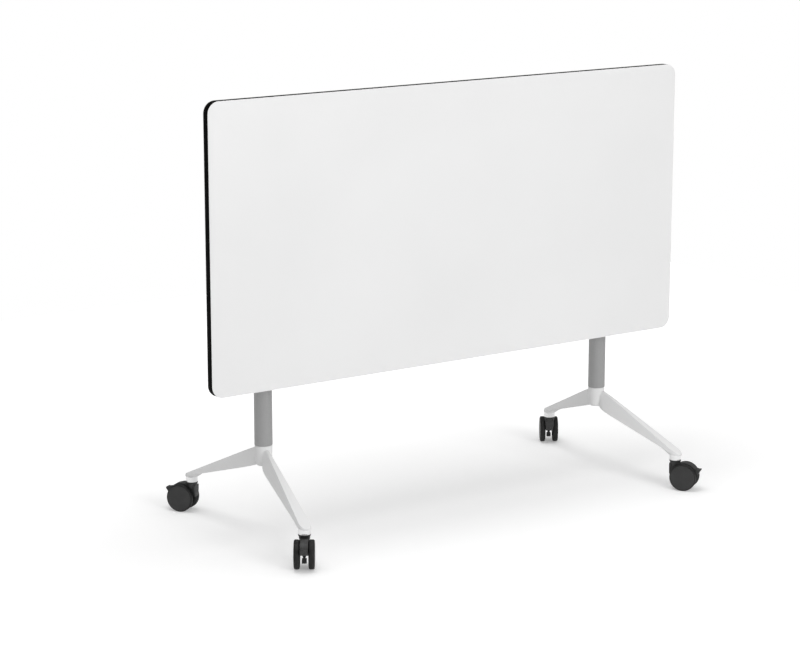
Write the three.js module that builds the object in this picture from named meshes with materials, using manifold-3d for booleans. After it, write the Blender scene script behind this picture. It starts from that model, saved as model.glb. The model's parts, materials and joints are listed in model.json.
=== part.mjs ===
// Flip top training table, stowed with its top upright.
// Millimetres, +Z up, X along the length of the top, work face towards -Y.
// The origin is on the floor, midway between the two columns.

import * as THREE from 'three';
import { mergeVertices } from 'three/addons/utils/BufferGeometryUtils.js';
import Module from 'manifold-3d';

const wasm = await Module();
wasm.setup();

// Clearances
const FIT_GAP = 0.3;
const RUNNING_GAP = 0.6;

// Top
const TOP_LENGTH = 1200;
const TOP_DEPTH = 600;
const BOARD_THICKNESS = 18;
const CORNER_RADIUS = 25;
const SHEET_THICKNESS = 0.8;
const EDGE_BAND_THICKNESS = 2;
const EDGE_BAND_ROUNDING = 1.2;

// Where the top turns
const WORKING_HEIGHT = 720;
const PIVOT_TO_UNDERSIDE = 47;
const PIVOT_BEHIND_MIDDLE = 30;
const STOWED_TURN = Math.PI / 2;

// Columns
const COLUMN_SPACING = 886;
const COLUMN_DIAMETER = 38;
const COLUMN_WALL = 2;
const COLUMN_END_ROUNDING = 1.5;
const SPIGOT_LENGTH = 34;
const TIE_BOLT_DIAMETER = 10;
const TIE_BOLT_HEAD_WIDTH = 17;
const TIE_BOLT_HEAD_HEIGHT = 7;

// Castors
const WHEEL_DIAMETER = 60;
const WHEEL_WIDTH = 12.5;
const WHEEL_SPACE = 17.6;
const WHEEL_SHOULDER = 2.4;
const WHEEL_HOLLOW = 4;
const WHEEL_HUB_RADIUS = 8;
const WHEEL_RIM_WALL = 7;
const CASTOR_TRAIL = 22;
const CASTOR_HEAD_HEIGHT = 6;
const CASTOR_WAIST_WIDTH = 9.6;
const CASTOR_WAIST_ABOVE_AXLE = 6;
const COLLAR_RADIUS = 13.2;
const COLLAR_LIP_HEIGHT = 3;
const COLLAR_LIP = 1.4;
const APRON_THICKNESS = 4;
const APRON_SET_BACK = 1;
const APRON_BELOW_WHEEL_TOP = 25;
const WEB_SET_BACK = 3;
const WEB_FRONT_HEIGHT = 12;
const WEB_FRONT_CURVE = 4;
const AXLE_DIAMETER = 6;
const AXLE_SHORT_OF_FACE = 2.5;
const AXLE_BOSS_RADIUS = 5.5;
const AXLE_BOSS_ARC = [200, 335].map(THREE.MathUtils.degToRad);
const TONGUE_LENGTH = 12;
const TONGUE_NECK = 3;
const TONGUE_DROP = 17.5;
const TONGUE_FOOT_HEIGHT = 8;
const STEM_DIAMETER = 10;
const STEM_DEPTH_IN_BODY = 25;
const STEM_DEPTH_IN_FOOT = 13.5;
const HOOD_PROUD = 1.5;
const HOOD_WALL = 3.3;
const HOOD_ARC = [36, 118].map(THREE.MathUtils.degToRad);
const HOOD_INNER_END = THREE.MathUtils.degToRad(62);
const KNUCKLE_RADIUS = 4.5;
const KNUCKLE_INSIDE_RIM = 10.2;
const KNUCKLE_SOCKET_ARC = [205, 95].map(THREE.MathUtils.degToRad);
const KNUCKLE_ARC = [85, 285].map(THREE.MathUtils.degToRad);
const CASTOR_TURN_FROM_DEPTH = THREE.MathUtils.degToRad(34);

// Side of the brake pedal, from its knuckle round the toe tab: [beyond the rim, above the axle]
const PEDAL_OUTLINE = [
  [-9, 8.2],
  [-1, 8.2],
  [1.2, 10],
  [1.5, 13.5],
  [5.3, 15.8],
  [5, 18],
  [-3, 15.5],
  [-7.5, 15.4],
];

// Cast bases: heights are above the face that the castors meet
const FOOT_SPREAD = 456;
const FOOT_SPLAY = 44;
const HUB_TOP = 127;
const HUB_BOTTOM = 83;
const HUB_TAPER = 1.5;
const HUB_BOTTOM_RADIUS = 14;
const ARM_START = 8;
const ARM_ROOT_TOP = 130;
const ARM_ROOT_BOTTOM = 85.5;
const ARM_TIP_TOP = 16;
const ARM_TIP_BOTTOM = 10.5;
const ARM_TIP_WIDTH = 27.4;
const ARM_TIP_TURNS = [30, 55, 75].map(THREE.MathUtils.degToRad);
const RIDGE_WIDTH = 5;
const TIP_RIDGE_WIDTH = 24.6;
const BLADE_WIDTH = 28;
const KEEL_WIDTH = 23;
const TIP_KEEL_WIDTH = 25.6;
const BLADE_SHOULDER = 0.8;
const FOOT_BOSS_RADIUS = 13.3;
const FOOT_BOSS_HEIGHT = 15;

// Pivot heads and the beam between them
const BARREL_RADIUS = 27;
const BARREL_LENGTH = 48;
const HEAD_NECK_HEIGHT = 8;
const BEAM_DIAMETER = 30;
const BEAM_WALL = 2;
const BEAM_CAP_LIP = 4;
const BEAM_CAP_THICKNESS = 3.5;
const BEAM_CAP_SPIGOT = 14;

// Brackets under the top
const PLATE_THICKNESS = 3;
const PLATE_LENGTH = 110;
const PLATE_AHEAD = 100;
const PLATE_BEHIND = 48;
const PLATE_CORNER = 12;
const SCREW_HOLE_DIAMETER = 5.5;
const SCREW_HOLE_INSET = 12;
const EAR_THICKNESS = 4;
const EAR_WALL = 6.7;
const BUSH_WALL = 1.7;
const BUSH_FLANGE_LIP = 5;
const BUSH_FLANGE_THICKNESS = 1.5;

// Lock under the top
const LOCK_BAR_DIAMETER = 10;
const LOCK_BAR_AHEAD = 52;
const LOCK_BAR_BELOW_UNDERSIDE = 13;
const LOCK_BAR_OVERHANG = 5;
const LOCK_BAR_EAR_RADIUS = 12;
const LOCK_TURN = THREE.MathUtils.degToRad(10);
const HOOK_THICKNESS = 8;
const HOOK_RING_RADIUS = 8.5;
const HOOK_RING_END = THREE.MathUtils.degToRad(288);
const HOOK_ARM_TOP = 5;
const HOOK_ARM_BOTTOM = 6;
const HOOK_OPEN_GAP = 1.2;
const NOSE_AHEAD = 4;
const NOSE_WIDTH = 6.5;
const NOTCH_PLAY = 0.8;
const PADDLE_LENGTH = 120;
const PADDLE_REACH = 62;
const PADDLE_DROP = 12;
const PADDLE_TIP_RADIUS = 3;
const PADDLE_SLEEVE_RADIUS = 9;
const PADDLE_ROOT_TOP = 4.5;
const PADDLE_ROOT_BOTTOM = 7;
const PADDLE_CORNER = 14;

// Rubber pads that the top comes to rest on
const PAD_DIAMETER = 14;
const STOW_PAD_BELOW_PIVOT = 82;
const USE_PAD_BEHIND_PIVOT = 14;

// Facets round a full turn
const COLUMN_FACETS = 32;
const WHEEL_FACETS = 20;
const BARREL_FACETS = 24;
const PIN_FACETS = 12;
const HEXAGON_FACETS = 6;
const COLLAR_FACETS = 16;
const CORNER_FACETS = 8;

// Places worked out from the sizes above
const PIVOT_HEIGHT = WORKING_HEIGHT - BOARD_THICKNESS - PIVOT_TO_UNDERSIDE;
const COLUMN_X = COLUMN_SPACING / 2;
const COLUMN_RADIUS = COLUMN_DIAMETER / 2;
const SPIGOT_RADIUS = COLUMN_RADIUS - COLUMN_WALL - FIT_GAP;
const WHEEL_RADIUS = WHEEL_DIAMETER / 2;
const CASTOR_BODY_WIDTH = WHEEL_SPACE - 2 * RUNNING_GAP;
const PEDAL_WIDTH = CASTOR_BODY_WIDTH - RUNNING_GAP;
const FOOT_FACE = WHEEL_DIAMETER + CASTOR_HEAD_HEIGHT;
const HUB_TOP_HEIGHT = FOOT_FACE + HUB_TOP;
const COLUMN_TOP_HEIGHT = PIVOT_HEIGHT - BARREL_RADIUS - HEAD_NECK_HEIGHT;
const FLANGE_FACE = BARREL_LENGTH / 2 + FIT_GAP;
const EAR_INNER_FACE = FLANGE_FACE + BUSH_FLANGE_THICKNESS + FIT_GAP;
const EAR_OUTER_FACE = EAR_INNER_FACE + EAR_THICKNESS;
const BEAM_END = COLUMN_X + EAR_OUTER_FACE + RUNNING_GAP;
const BUSH_BORE = BEAM_DIAMETER / 2 + FIT_GAP;
const BUSH_HOLE = BUSH_BORE + BUSH_WALL + FIT_GAP;
const EAR_RADIUS = BUSH_HOLE + EAR_WALL;
const PLATE_TOP = PIVOT_TO_UNDERSIDE - FIT_GAP;
const PLATE_BOTTOM = PLATE_TOP - PLATE_THICKNESS;
const LOCK_BAR_Y = -LOCK_BAR_AHEAD;
const LOCK_BAR_Z = PIVOT_TO_UNDERSIDE - LOCK_BAR_BELOW_UNDERSIDE;

// Finishes
const FINISHES = {
  laminate: { color: 0xeeeeee, roughness: 0.45, metalness: 0 },
  blackEdge: { color: 0x1c1c1c, roughness: 0.5, metalness: 0 },
  powderCoat: { color: 0x9a9a9c, roughness: 0.5, metalness: 0.3 },
  castAluminium: { color: 0xc9cacc, roughness: 0.22, metalness: 1 },
  steel: { color: 0x8f9194, roughness: 0.35, metalness: 1 },
  blackNylon: { color: 0x2b2b2c, roughness: 0.55, metalness: 0 },
  rubber: { color: 0x161616, roughness: 0.85, metalness: 0 },
};

function addPiece(parent, name, geometry, finish) {
  const piece = new THREE.Mesh(geometry, new THREE.MeshStandardMaterial(FINISHES[finish]));
  piece.name = name;
  parent.add(piece);
  return piece;
}

// A closed geometry as a solid that can be joined and cut.
function toSolid(geometry) {
  const bare = new THREE.BufferGeometry();
  bare.setAttribute('position', geometry.getAttribute('position'));
  bare.setIndex(geometry.index);
  const welded = mergeVertices(bare);
  const corners = welded.index.array;
  const triangles = [];
  for (let i = 0; i < corners.length; i += 3) {
    const [a, b, c] = corners.slice(i, i + 3);
    if (a !== b && b !== c && c !== a) triangles.push(a, b, c);
  }
  const vertProperties = new Float32Array(welded.getAttribute('position').array);
  const triVerts = new Uint32Array(triangles);
  return new wasm.Manifold(new wasm.Mesh({ numProp: 3, vertProperties, triVerts }));
}

function toGeometry(solid) {
  const { vertProperties, triVerts } = solid.getMesh();
  const geometry = new THREE.BufferGeometry();
  geometry.setAttribute('position', new THREE.BufferAttribute(vertProperties, 3));
  geometry.setIndex(new THREE.BufferAttribute(triVerts, 1));
  geometry.computeVertexNormals();
  return geometry;
}

function joined(...geometries) {
  return geometries.map(toSolid).reduce((whole, next) => whole.add(next));
}

function cutFrom(solid, ...cutters) {
  return cutters.map(toSolid).reduce((rest, cutter) => rest.subtract(cutter), solid);
}

// Stands a shape that was made along Y on another axis.
function alongAxis(geometry, axis) {
  if (axis === 'x') geometry.rotateZ(-Math.PI / 2);
  if (axis === 'z') geometry.rotateX(Math.PI / 2);
  return geometry;
}

// A round bar between two places on an axis through the origin.
function bar(axis, radius, from, to, facets = PIN_FACETS) {
  const geometry = new THREE.CylinderGeometry(radius, radius, to - from, facets);
  geometry.translate(0, (from + to) / 2, 0);
  return alongAxis(geometry, axis);
}

// Turns a profile of [radius, place on the axis] pairs about an axis.
function revolved(axis, profile, facets) {
  const points = profile.map(([radius, place]) => new THREE.Vector2(radius, place));
  return alongAxis(new THREE.LatheGeometry(points, facets), axis);
}

// A tube, as a closed profile that goes up the outside and down the bore.
function tube(axis, outer, inner, from, to, facets) {
  const profile = [[inner, from], [outer, from], [outer, to], [inner, to], [inner, from]];
  return revolved(axis, profile, facets);
}

function extruded(shape, depth, curveSegments = CORNER_FACETS / 2) {
  return new THREE.ExtrudeGeometry(shape, { depth, bevelEnabled: false, curveSegments });
}

// Extrudes an outline drawn in Y and Z by a width along X, centred on X.
function extrudedAcross(outline, width, curveSegments) {
  const geometry = extruded(outline, width, curveSegments);
  geometry.translate(0, 0, -width / 2);
  geometry.rotateY(Math.PI / 2);
  return geometry.rotateX(Math.PI / 2);
}

// Skins a row of rings that all have the same number of corners.
function lofted(rings, endless = false) {
  const corners = rings[0].length;
  const faces = [];
  const spans = endless ? rings.length : rings.length - 1;
  for (let i = 0; i < spans; i += 1) {
    const here = i * corners;
    const there = ((i + 1) % rings.length) * corners;
    for (let j = 0; j < corners; j += 1) {
      const next = (j + 1) % corners;
      faces.push(here + j, there + next, here + next, here + j, there + j, there + next);
    }
  }
  if (!endless) {
    const last = (rings.length - 1) * corners;
    for (let j = 1; j < corners - 1; j += 1) {
      faces.push(0, j, j + 1, last, last + j + 1, last + j);
    }
  }
  const geometry = new THREE.BufferGeometry().setFromPoints(rings.flat());
  geometry.setIndex(faces);
  geometry.computeVertexNormals();
  return geometry;
}

function roundedRectangle(width, depth, radius) {
  const x = width / 2 - radius;
  const y = depth / 2 - radius;
  const shape = new THREE.Shape();
  shape.absarc(x, y, radius, 0, Math.PI / 2);
  shape.absarc(-x, y, radius, Math.PI / 2, Math.PI);
  shape.absarc(-x, -y, radius, Math.PI, Math.PI * 1.5);
  shape.absarc(x, -y, radius, Math.PI * 1.5, Math.PI * 2);
  return shape;
}

function roundHole(x, y, radius) {
  return new THREE.Path().absarc(x, y, radius, 0, Math.PI * 2, true);
}

// The corner arcs of the top, as steps round it: the middle of each arc and the way out from it
function topEdgeSteps() {
  const steps = [];
  for (let quarter = 0; quarter < 4; quarter += 1) {
    const right = quarter === 0 || quarter === 3;
    const x = (TOP_LENGTH / 2 - CORNER_RADIUS) * (right ? 1 : -1);
    const y = (TOP_DEPTH / 2 - CORNER_RADIUS) * (quarter < 2 ? 1 : -1);
    for (let step = 0; step <= CORNER_FACETS; step += 1) {
      steps.push({ x, y, angle: (quarter + step / CORNER_FACETS) * (Math.PI / 2) });
    }
  }
  return steps;
}

function atTopEdge({ x, y, angle }, inset, height) {
  const reach = CORNER_RADIUS - inset;
  return new THREE.Vector3(x + reach * Math.cos(angle), y + reach * Math.sin(angle), height);
}

// Top board: its two laminate sheets reach the outline, its core leaves room for the edge band
function topPanel() {
  const rebate = EDGE_BAND_THICKNESS + FIT_GAP;
  const low = SHEET_THICKNESS;
  const high = BOARD_THICKNESS - SHEET_THICKNESS;
  const levels = [[0, BOARD_THICKNESS], [0, high], [rebate, high], [rebate, low], [0, low], [0, 0]];
  const steps = topEdgeSteps();
  return lofted(levels.map(([inset, height]) => steps.map((step) => atTopEdge(step, inset, height))));
}

// Edge band: a strip with softened outer edges, carried round the board between its sheets
function edgeBand() {
  const low = SHEET_THICKNESS + FIT_GAP;
  const high = BOARD_THICKNESS - low;
  const soft = EDGE_BAND_ROUNDING;
  const bulge = soft * (1 - Math.SQRT1_2);
  const profile = [
    [EDGE_BAND_THICKNESS, low],
    [soft, low],
    [bulge, low + bulge],
    [0, low + soft],
    [0, high - soft],
    [bulge, high - bulge],
    [soft, high],
    [EDGE_BAND_THICKNESS, high],
  ];
  const rings = topEdgeSteps().map(
    (step) => profile.map(([inset, height]) => atTopEdge(step, inset, height)));
  return lofted(rings, true);
}

// The hole that the lock bar turns or is fixed in, long enough to pass through any piece on it.
function lockBarBore() {
  const radius = LOCK_BAR_DIAMETER / 2 + FIT_GAP;
  return bar('x', radius, -PLATE_LENGTH, PLATE_LENGTH).translate(0, LOCK_BAR_Y, LOCK_BAR_Z);
}

// The angle at which a line touches two circles from below, the first one ahead of the second.
function tangentAngle(y1, z1, radius1, y2, z2, radius2) {
  const direction = Math.atan2(z2 - z1, y2 - y1);
  const distance = Math.hypot(y2 - y1, z2 - z1);
  return direction - Math.acos((radius1 - radius2) / distance) + Math.PI * 2;
}

// Bracket: a plate on the underside and two ears that reach down to the beam
function tiltBracket() {
  const plateOutline = roundedRectangle(PLATE_LENGTH, PLATE_AHEAD + PLATE_BEHIND, PLATE_CORNER);
  const holeX = PLATE_LENGTH / 2 - SCREW_HOLE_INSET;
  const holeY = (PLATE_AHEAD + PLATE_BEHIND) / 2 - SCREW_HOLE_INSET;
  for (const x of [-holeX, holeX]) {
    for (const y of [-holeY, holeY]) {
      plateOutline.holes.push(roundHole(x, y, SCREW_HOLE_DIAMETER / 2));
    }
  }
  const plate = extruded(plateOutline, PLATE_THICKNESS);
  plate.translate(0, (PLATE_BEHIND - PLATE_AHEAD) / 2, PLATE_BOTTOM);

  const touch = tangentAngle(LOCK_BAR_Y, LOCK_BAR_Z, LOCK_BAR_EAR_RADIUS, 0, 0, EAR_RADIUS);
  const earTop = PLATE_BOTTOM + PLATE_THICKNESS / 2;
  const earOutline = new THREE.Shape();
  earOutline.moveTo(LOCK_BAR_Y - LOCK_BAR_EAR_RADIUS, earTop);
  earOutline.absarc(LOCK_BAR_Y, LOCK_BAR_Z, LOCK_BAR_EAR_RADIUS, Math.PI, touch);
  earOutline.absarc(0, 0, EAR_RADIUS, touch, Math.PI * 2);
  earOutline.lineTo(EAR_RADIUS, earTop);
  const ears = [-1, 1].map((hand) => {
    const ear = extrudedAcross(earOutline, EAR_THICKNESS);
    return ear.translate(hand * (EAR_INNER_FACE + EAR_THICKNESS / 2), 0, 0);
  });
  const bushHole = bar('x', BUSH_HOLE, -PLATE_LENGTH, PLATE_LENGTH, BARREL_FACETS);
  return toGeometry(cutFrom(joined(plate, ...ears), bushHole, lockBarBore()));
}

// Flanged bush: its sleeve lines an ear, its flange runs against the head
function pivotBush() {
  const sleeve = BUSH_BORE + BUSH_WALL;
  const flange = sleeve + BUSH_FLANGE_LIP;
  const flangeEnd = FLANGE_FACE + BUSH_FLANGE_THICKNESS;
  const profile = [
    [BUSH_BORE, FLANGE_FACE],
    [flange, FLANGE_FACE],
    [flange, flangeEnd],
    [sleeve, flangeEnd],
    [sleeve, EAR_OUTER_FACE],
    [BUSH_BORE, EAR_OUTER_FACE],
    [BUSH_BORE, FLANGE_FACE],
  ];
  return revolved('x', profile, BARREL_FACETS);
}

// A point of the hook after the lock has turned shut about its bar.
function whenShut(y, z) {
  const place = new THREE.Vector2(y, z);
  return place.rotateAround(new THREE.Vector2(LOCK_BAR_Y, LOCK_BAR_Z), -LOCK_TURN);
}

const NOSE_FRONT = -NOSE_AHEAD - NOSE_WIDTH;
const NOSE_BACK = -NOSE_AHEAD;
const HOOK_ARM_UNDERSIDE = BARREL_RADIUS + HOOK_ARM_BOTTOM;

function noseTip(y) {
  return Math.sqrt((BARREL_RADIUS + HOOK_OPEN_GAP) ** 2 - y * y);
}

// Hook: an arm from the lock bar to a nose that drops into a notch of the head
function lockHook() {
  const armTop = PIVOT_TO_UNDERSIDE - HOOK_ARM_TOP;
  const outline = new THREE.Shape();
  outline.moveTo(LOCK_BAR_Y, LOCK_BAR_Z + HOOK_RING_RADIUS);
  outline.absarc(LOCK_BAR_Y, LOCK_BAR_Z, HOOK_RING_RADIUS, Math.PI / 2, HOOK_RING_END);
  outline.lineTo(NOSE_FRONT - NOSE_WIDTH, HOOK_ARM_UNDERSIDE);
  outline.lineTo(NOSE_FRONT, HOOK_ARM_UNDERSIDE);
  outline.lineTo(NOSE_FRONT, noseTip(NOSE_FRONT));
  outline.lineTo(NOSE_BACK, noseTip(NOSE_BACK));
  outline.lineTo(NOSE_BACK, armTop - NOSE_WIDTH / 2);
  outline.lineTo(NOSE_FRONT, armTop);
  return toGeometry(cutFrom(toSolid(extrudedAcross(outline, HOOK_THICKNESS)), lockBarBore()));
}

// The slot in a head that the shut nose fits, with the top level.
function lockNotch() {
  const front = Math.min(
    whenShut(NOSE_FRONT, noseTip(NOSE_FRONT)).x, whenShut(NOSE_FRONT, HOOK_ARM_UNDERSIDE).x);
  const floor = Math.min(
    whenShut(NOSE_FRONT, noseTip(NOSE_FRONT)).y, whenShut(NOSE_BACK, noseTip(NOSE_BACK)).y);
  const low = new THREE.Vector2(front - NOTCH_PLAY, floor - NOTCH_PLAY);
  const high = new THREE.Vector2(NOSE_BACK + NOTCH_PLAY, BARREL_RADIUS + NOTCH_PLAY);
  const slot = new THREE.BoxGeometry(HOOK_THICKNESS + 2 * NOTCH_PLAY, high.x - low.x, high.y - low.y);
  return slot.translate(0, (low.x + high.x) / 2, (low.y + high.y) / 2);
}

function lockBar() {
  const end = COLUMN_X + EAR_OUTER_FACE + LOCK_BAR_OVERHANG;
  return bar('x', LOCK_BAR_DIAMETER / 2, -end, end).translate(0, LOCK_BAR_Y, LOCK_BAR_Z);
}

// Hand paddle: a sleeve on the lock bar and a blade that falls away from the underside
function lockPaddle() {
  const tipY = LOCK_BAR_Y - PADDLE_REACH;
  const tipZ = LOCK_BAR_Z - PADDLE_DROP;
  const half = PADDLE_REACH / 2;
  const blade = new THREE.Shape();
  const rootBottom = LOCK_BAR_Z - PADDLE_ROOT_BOTTOM;
  blade.moveTo(LOCK_BAR_Y, LOCK_BAR_Z + PADDLE_ROOT_TOP);
  blade.quadraticCurveTo(LOCK_BAR_Y - half, LOCK_BAR_Z, tipY, tipZ + PADDLE_TIP_RADIUS);
  blade.absarc(tipY, tipZ, PADDLE_TIP_RADIUS, Math.PI / 2, Math.PI * 1.5);
  blade.quadraticCurveTo(LOCK_BAR_Y - half, LOCK_BAR_Z - PADDLE_SLEEVE_RADIUS, LOCK_BAR_Y, rootBottom);
  const plan = roundedRectangle(PADDLE_LENGTH, 2 * (PADDLE_REACH + PADDLE_TIP_RADIUS), PADDLE_CORNER);
  const outlineBlock = extruded(plan, 2 * PIVOT_TO_UNDERSIDE).translate(0, LOCK_BAR_Y, 0);
  const sleeve = bar('x', PADDLE_SLEEVE_RADIUS, -PADDLE_LENGTH / 2, PADDLE_LENGTH / 2, PIN_FACETS);
  sleeve.translate(0, LOCK_BAR_Y, LOCK_BAR_Z);
  const rough = toSolid(extrudedAcross(blade, PADDLE_LENGTH)).intersect(toSolid(outlineBlock));
  return toGeometry(cutFrom(rough.add(toSolid(sleeve)), lockBarBore()));
}

// Pivot head: a barrel on a neck, with a spigot in the column and two notches for the lock
function pivotHead() {
  const top = -BARREL_RADIUS / 2;
  const seat = COLUMN_TOP_HEIGHT - PIVOT_HEIGHT;
  const stem = revolved('z', [
    [0, seat - SPIGOT_LENGTH],
    [SPIGOT_RADIUS, seat - SPIGOT_LENGTH],
    [SPIGOT_RADIUS, seat],
    [COLUMN_RADIUS, seat],
    [COLUMN_RADIUS, top],
    [0, top],
  ], COLUMN_FACETS);
  const barrel = bar('x', BARREL_RADIUS, -BARREL_LENGTH / 2, BARREL_LENGTH / 2, BARREL_FACETS);
  const beamBore = bar('x', BEAM_DIAMETER / 2 + FIT_GAP, -BARREL_LENGTH, BARREL_LENGTH, BARREL_FACETS);
  const boltBore = bar('z', TIE_BOLT_DIAMETER / 2 + FIT_GAP, seat - 2 * SPIGOT_LENGTH, seat);
  const useNotch = lockNotch();
  const stowNotch = lockNotch().rotateX(STOWED_TURN);
  return toGeometry(cutFrom(joined(stem, barrel), beamBore, boltBore, useNotch, stowNotch));
}

function beamCap() {
  const plug = BEAM_DIAMETER / 2 - BEAM_WALL - FIT_GAP;
  const rim = BEAM_DIAMETER / 2 + BEAM_CAP_LIP;
  const face = BEAM_END + FIT_GAP;
  return revolved('x', [
    [0, face - BEAM_CAP_SPIGOT],
    [plug, face - BEAM_CAP_SPIGOT],
    [plug, face],
    [rim, face],
    [rim, face + BEAM_CAP_THICKNESS / 2],
    [rim - BEAM_CAP_THICKNESS / 2, face + BEAM_CAP_THICKNESS],
    [0, face + BEAM_CAP_THICKNESS],
  ], BARREL_FACETS);
}

function column() {
  const low = HUB_TOP_HEIGHT + FIT_GAP;
  const high = COLUMN_TOP_HEIGHT - FIT_GAP;
  const bore = COLUMN_RADIUS - COLUMN_WALL;
  return revolved('z', [
    [bore, low],
    [COLUMN_RADIUS - COLUMN_END_ROUNDING, low],
    [COLUMN_RADIUS, low + COLUMN_END_ROUNDING],
    [COLUMN_RADIUS, high],
    [bore, high],
    [bore, low],
  ], COLUMN_FACETS);
}

const BOLT_SEAT_HEIGHT = FOOT_FACE + HUB_BOTTOM + TIE_BOLT_HEAD_HEIGHT + 2 * FIT_GAP;

// Tie bolt: clamps base, column and head together
function tieBolt() {
  const shankEnd = COLUMN_TOP_HEIGHT - 2 * FIT_GAP;
  const under = BOLT_SEAT_HEIGHT - FIT_GAP;
  const corner = TIE_BOLT_HEAD_WIDTH / Math.sqrt(3);
  const head = bar('z', corner, under - TIE_BOLT_HEAD_HEIGHT, under, HEXAGON_FACETS);
  const shank = bar('z', TIE_BOLT_DIAMETER / 2, under - TIE_BOLT_HEAD_HEIGHT / 2, shankEnd);
  return toGeometry(joined(head, shank));
}

// One arm of a base: a tall wedge at the hub, whose ridge broadens as it flattens towards the foot
function baseArm(footX, footY) {
  const reach = Math.hypot(footX, footY);
  const ahead = new THREE.Vector3(footX / reach, footY / reach, 0);
  const aside = new THREE.Vector3(-ahead.y, ahead.x, 0);
  const tip = ARM_TIP_WIDTH / 2;
  const blend = THREE.MathUtils.lerp;

  function section(distance, narrowing) {
    const way = distance / (reach + tip);
    const top = FOOT_FACE + blend(ARM_ROOT_TOP, ARM_TIP_TOP, way);
    const slope = blend(ARM_ROOT_BOTTOM, ARM_TIP_BOTTOM, way);
    const bottom = FOOT_FACE + (distance < reach ? slope : ARM_TIP_BOTTOM);
    const shoulder = blend(top, bottom, BLADE_SHOULDER);
    const halves = [
      [blend(RIDGE_WIDTH, TIP_RIDGE_WIDTH, way) / 2, top],
      [blend(BLADE_WIDTH, ARM_TIP_WIDTH, way) / 2, shoulder],
      [blend(KEEL_WIDTH, TIP_KEEL_WIDTH, way) / 2, bottom],
    ];
    const outline = [
      ...halves,
      ...halves.map(([half, height]) => [-half, height]).reverse(),
    ];
    return outline.map(([offset, height]) => new THREE.Vector3()
      .addScaledVector(ahead, distance)
      .addScaledVector(aside, offset * narrowing)
      .setZ(height));
  }

  const rings = [section(ARM_START, 1), section(reach, 1)];
  for (const angle of ARM_TIP_TURNS) {
    rings.push(section(reach + tip * Math.sin(angle), Math.cos(angle)));
  }
  return lofted(rings);
}

// Cast base: a hub under the column and two arms, each with a boss for a castor stem
function baseCasting(outward) {
  const hub = revolved('z', [
    [0, FOOT_FACE + HUB_BOTTOM],
    [HUB_BOTTOM_RADIUS, FOOT_FACE + HUB_BOTTOM],
    [COLUMN_RADIUS - 2 * HUB_TAPER, FOOT_FACE + HUB_BOTTOM + COLUMN_RADIUS - HUB_BOTTOM_RADIUS],
    [COLUMN_RADIUS - FIT_GAP, HUB_TOP_HEIGHT - HUB_TAPER],
    [COLUMN_RADIUS - HUB_TAPER, HUB_TOP_HEIGHT],
    [SPIGOT_RADIUS, HUB_TOP_HEIGHT],
    [SPIGOT_RADIUS, HUB_TOP_HEIGHT + SPIGOT_LENGTH],
    [0, HUB_TOP_HEIGHT + SPIGOT_LENGTH],
  ], COLUMN_FACETS);
  const pieces = [hub];
  const cutters = [
    bar('z', TIE_BOLT_DIAMETER / 2 + FIT_GAP, FOOT_FACE, HUB_TOP_HEIGHT + 2 * SPIGOT_LENGTH),
    bar('z', TIE_BOLT_HEAD_WIDTH / Math.sqrt(3) + FIT_GAP, FOOT_FACE, BOLT_SEAT_HEIGHT),
  ];
  for (const end of [-1, 1]) {
    const footX = outward * FOOT_SPLAY;
    const footY = end * FOOT_SPREAD / 2;
    const boss = bar('z', FOOT_BOSS_RADIUS, FOOT_FACE, FOOT_FACE + FOOT_BOSS_HEIGHT, COLLAR_FACETS);
    const socketTop = FOOT_FACE + STEM_DEPTH_IN_FOOT + FIT_GAP;
    const socket = bar('z', STEM_DIAMETER / 2 + FIT_GAP, 0, socketTop);
    pieces.push(baseArm(footX, footY), boss.translate(footX, footY, 0));
    cutters.push(socket.translate(footX, footY, 0));
  }
  return toGeometry(cutFrom(joined(...pieces), ...cutters));
}

// Rubber pad between a column and the stowed bracket
function stowPad() {
  const pad = bar('y', PAD_DIAMETER / 2, -PLATE_BOTTOM + FIT_GAP, 0);
  pad.translate(0, 0, PIVOT_HEIGHT - STOW_PAD_BELOW_PIVOT);
  const seat = bar('z', COLUMN_RADIUS + FIT_GAP, HUB_TOP_HEIGHT, PIVOT_HEIGHT, COLUMN_FACETS);
  return toGeometry(cutFrom(toSolid(pad), seat));
}

// Rubber pad between a head and the level bracket
function usePad() {
  const pad = bar('z', PAD_DIAMETER / 2, 0, PLATE_BOTTOM - FIT_GAP);
  pad.translate(0, USE_PAD_BEHIND_PIVOT, 0);
  const seat = bar('x', BARREL_RADIUS + FIT_GAP, -BARREL_LENGTH, BARREL_LENGTH, BARREL_FACETS);
  return toGeometry(cutFrom(toSolid(pad), seat));
}

// Castors are drawn trailing along +X, with the stem on the Z axis.
const AXLE_X = CASTOR_TRAIL;
const AXLE_Z = WHEEL_RADIUS;
const HOOD_RADIUS = WHEEL_RADIUS + HOOD_PROUD;
const KNUCKLE_DISTANCE = WHEEL_RADIUS - KNUCKLE_INSIDE_RIM;
const KNUCKLE_X = AXLE_X + KNUCKLE_DISTANCE * Math.SQRT1_2;
const KNUCKLE_Z = AXLE_Z + KNUCKLE_DISTANCE * Math.SQRT1_2;

// The rim of the wheel, taken so that its flats, not its corners, are one wheel radius from the axle
const WHEEL_RIM = WHEEL_RADIUS / Math.cos(Math.PI / WHEEL_FACETS);

// Two blocks that narrow the lower part of the body to a waist.
function waistCutters() {
  const depth = WHEEL_SPACE;
  const height = AXLE_Z + CASTOR_WAIST_ABOVE_AXLE;
  return [-1, 1].map((hand) => {
    const block = new THREE.BoxGeometry(4 * WHEEL_DIAMETER, depth, height);
    return block.translate(AXLE_X, hand * (CASTOR_WAIST_WIDTH + depth) / 2, height / 2);
  });
}

// Extrudes an outline drawn in X and Z by a width along Y, centred on Y.
function extrudedAside(outline, width, curveSegments) {
  const geometry = extruded(outline, width, curveSegments);
  geometry.translate(0, 0, -width / 2);
  return geometry.rotateX(Math.PI / 2);
}

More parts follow.
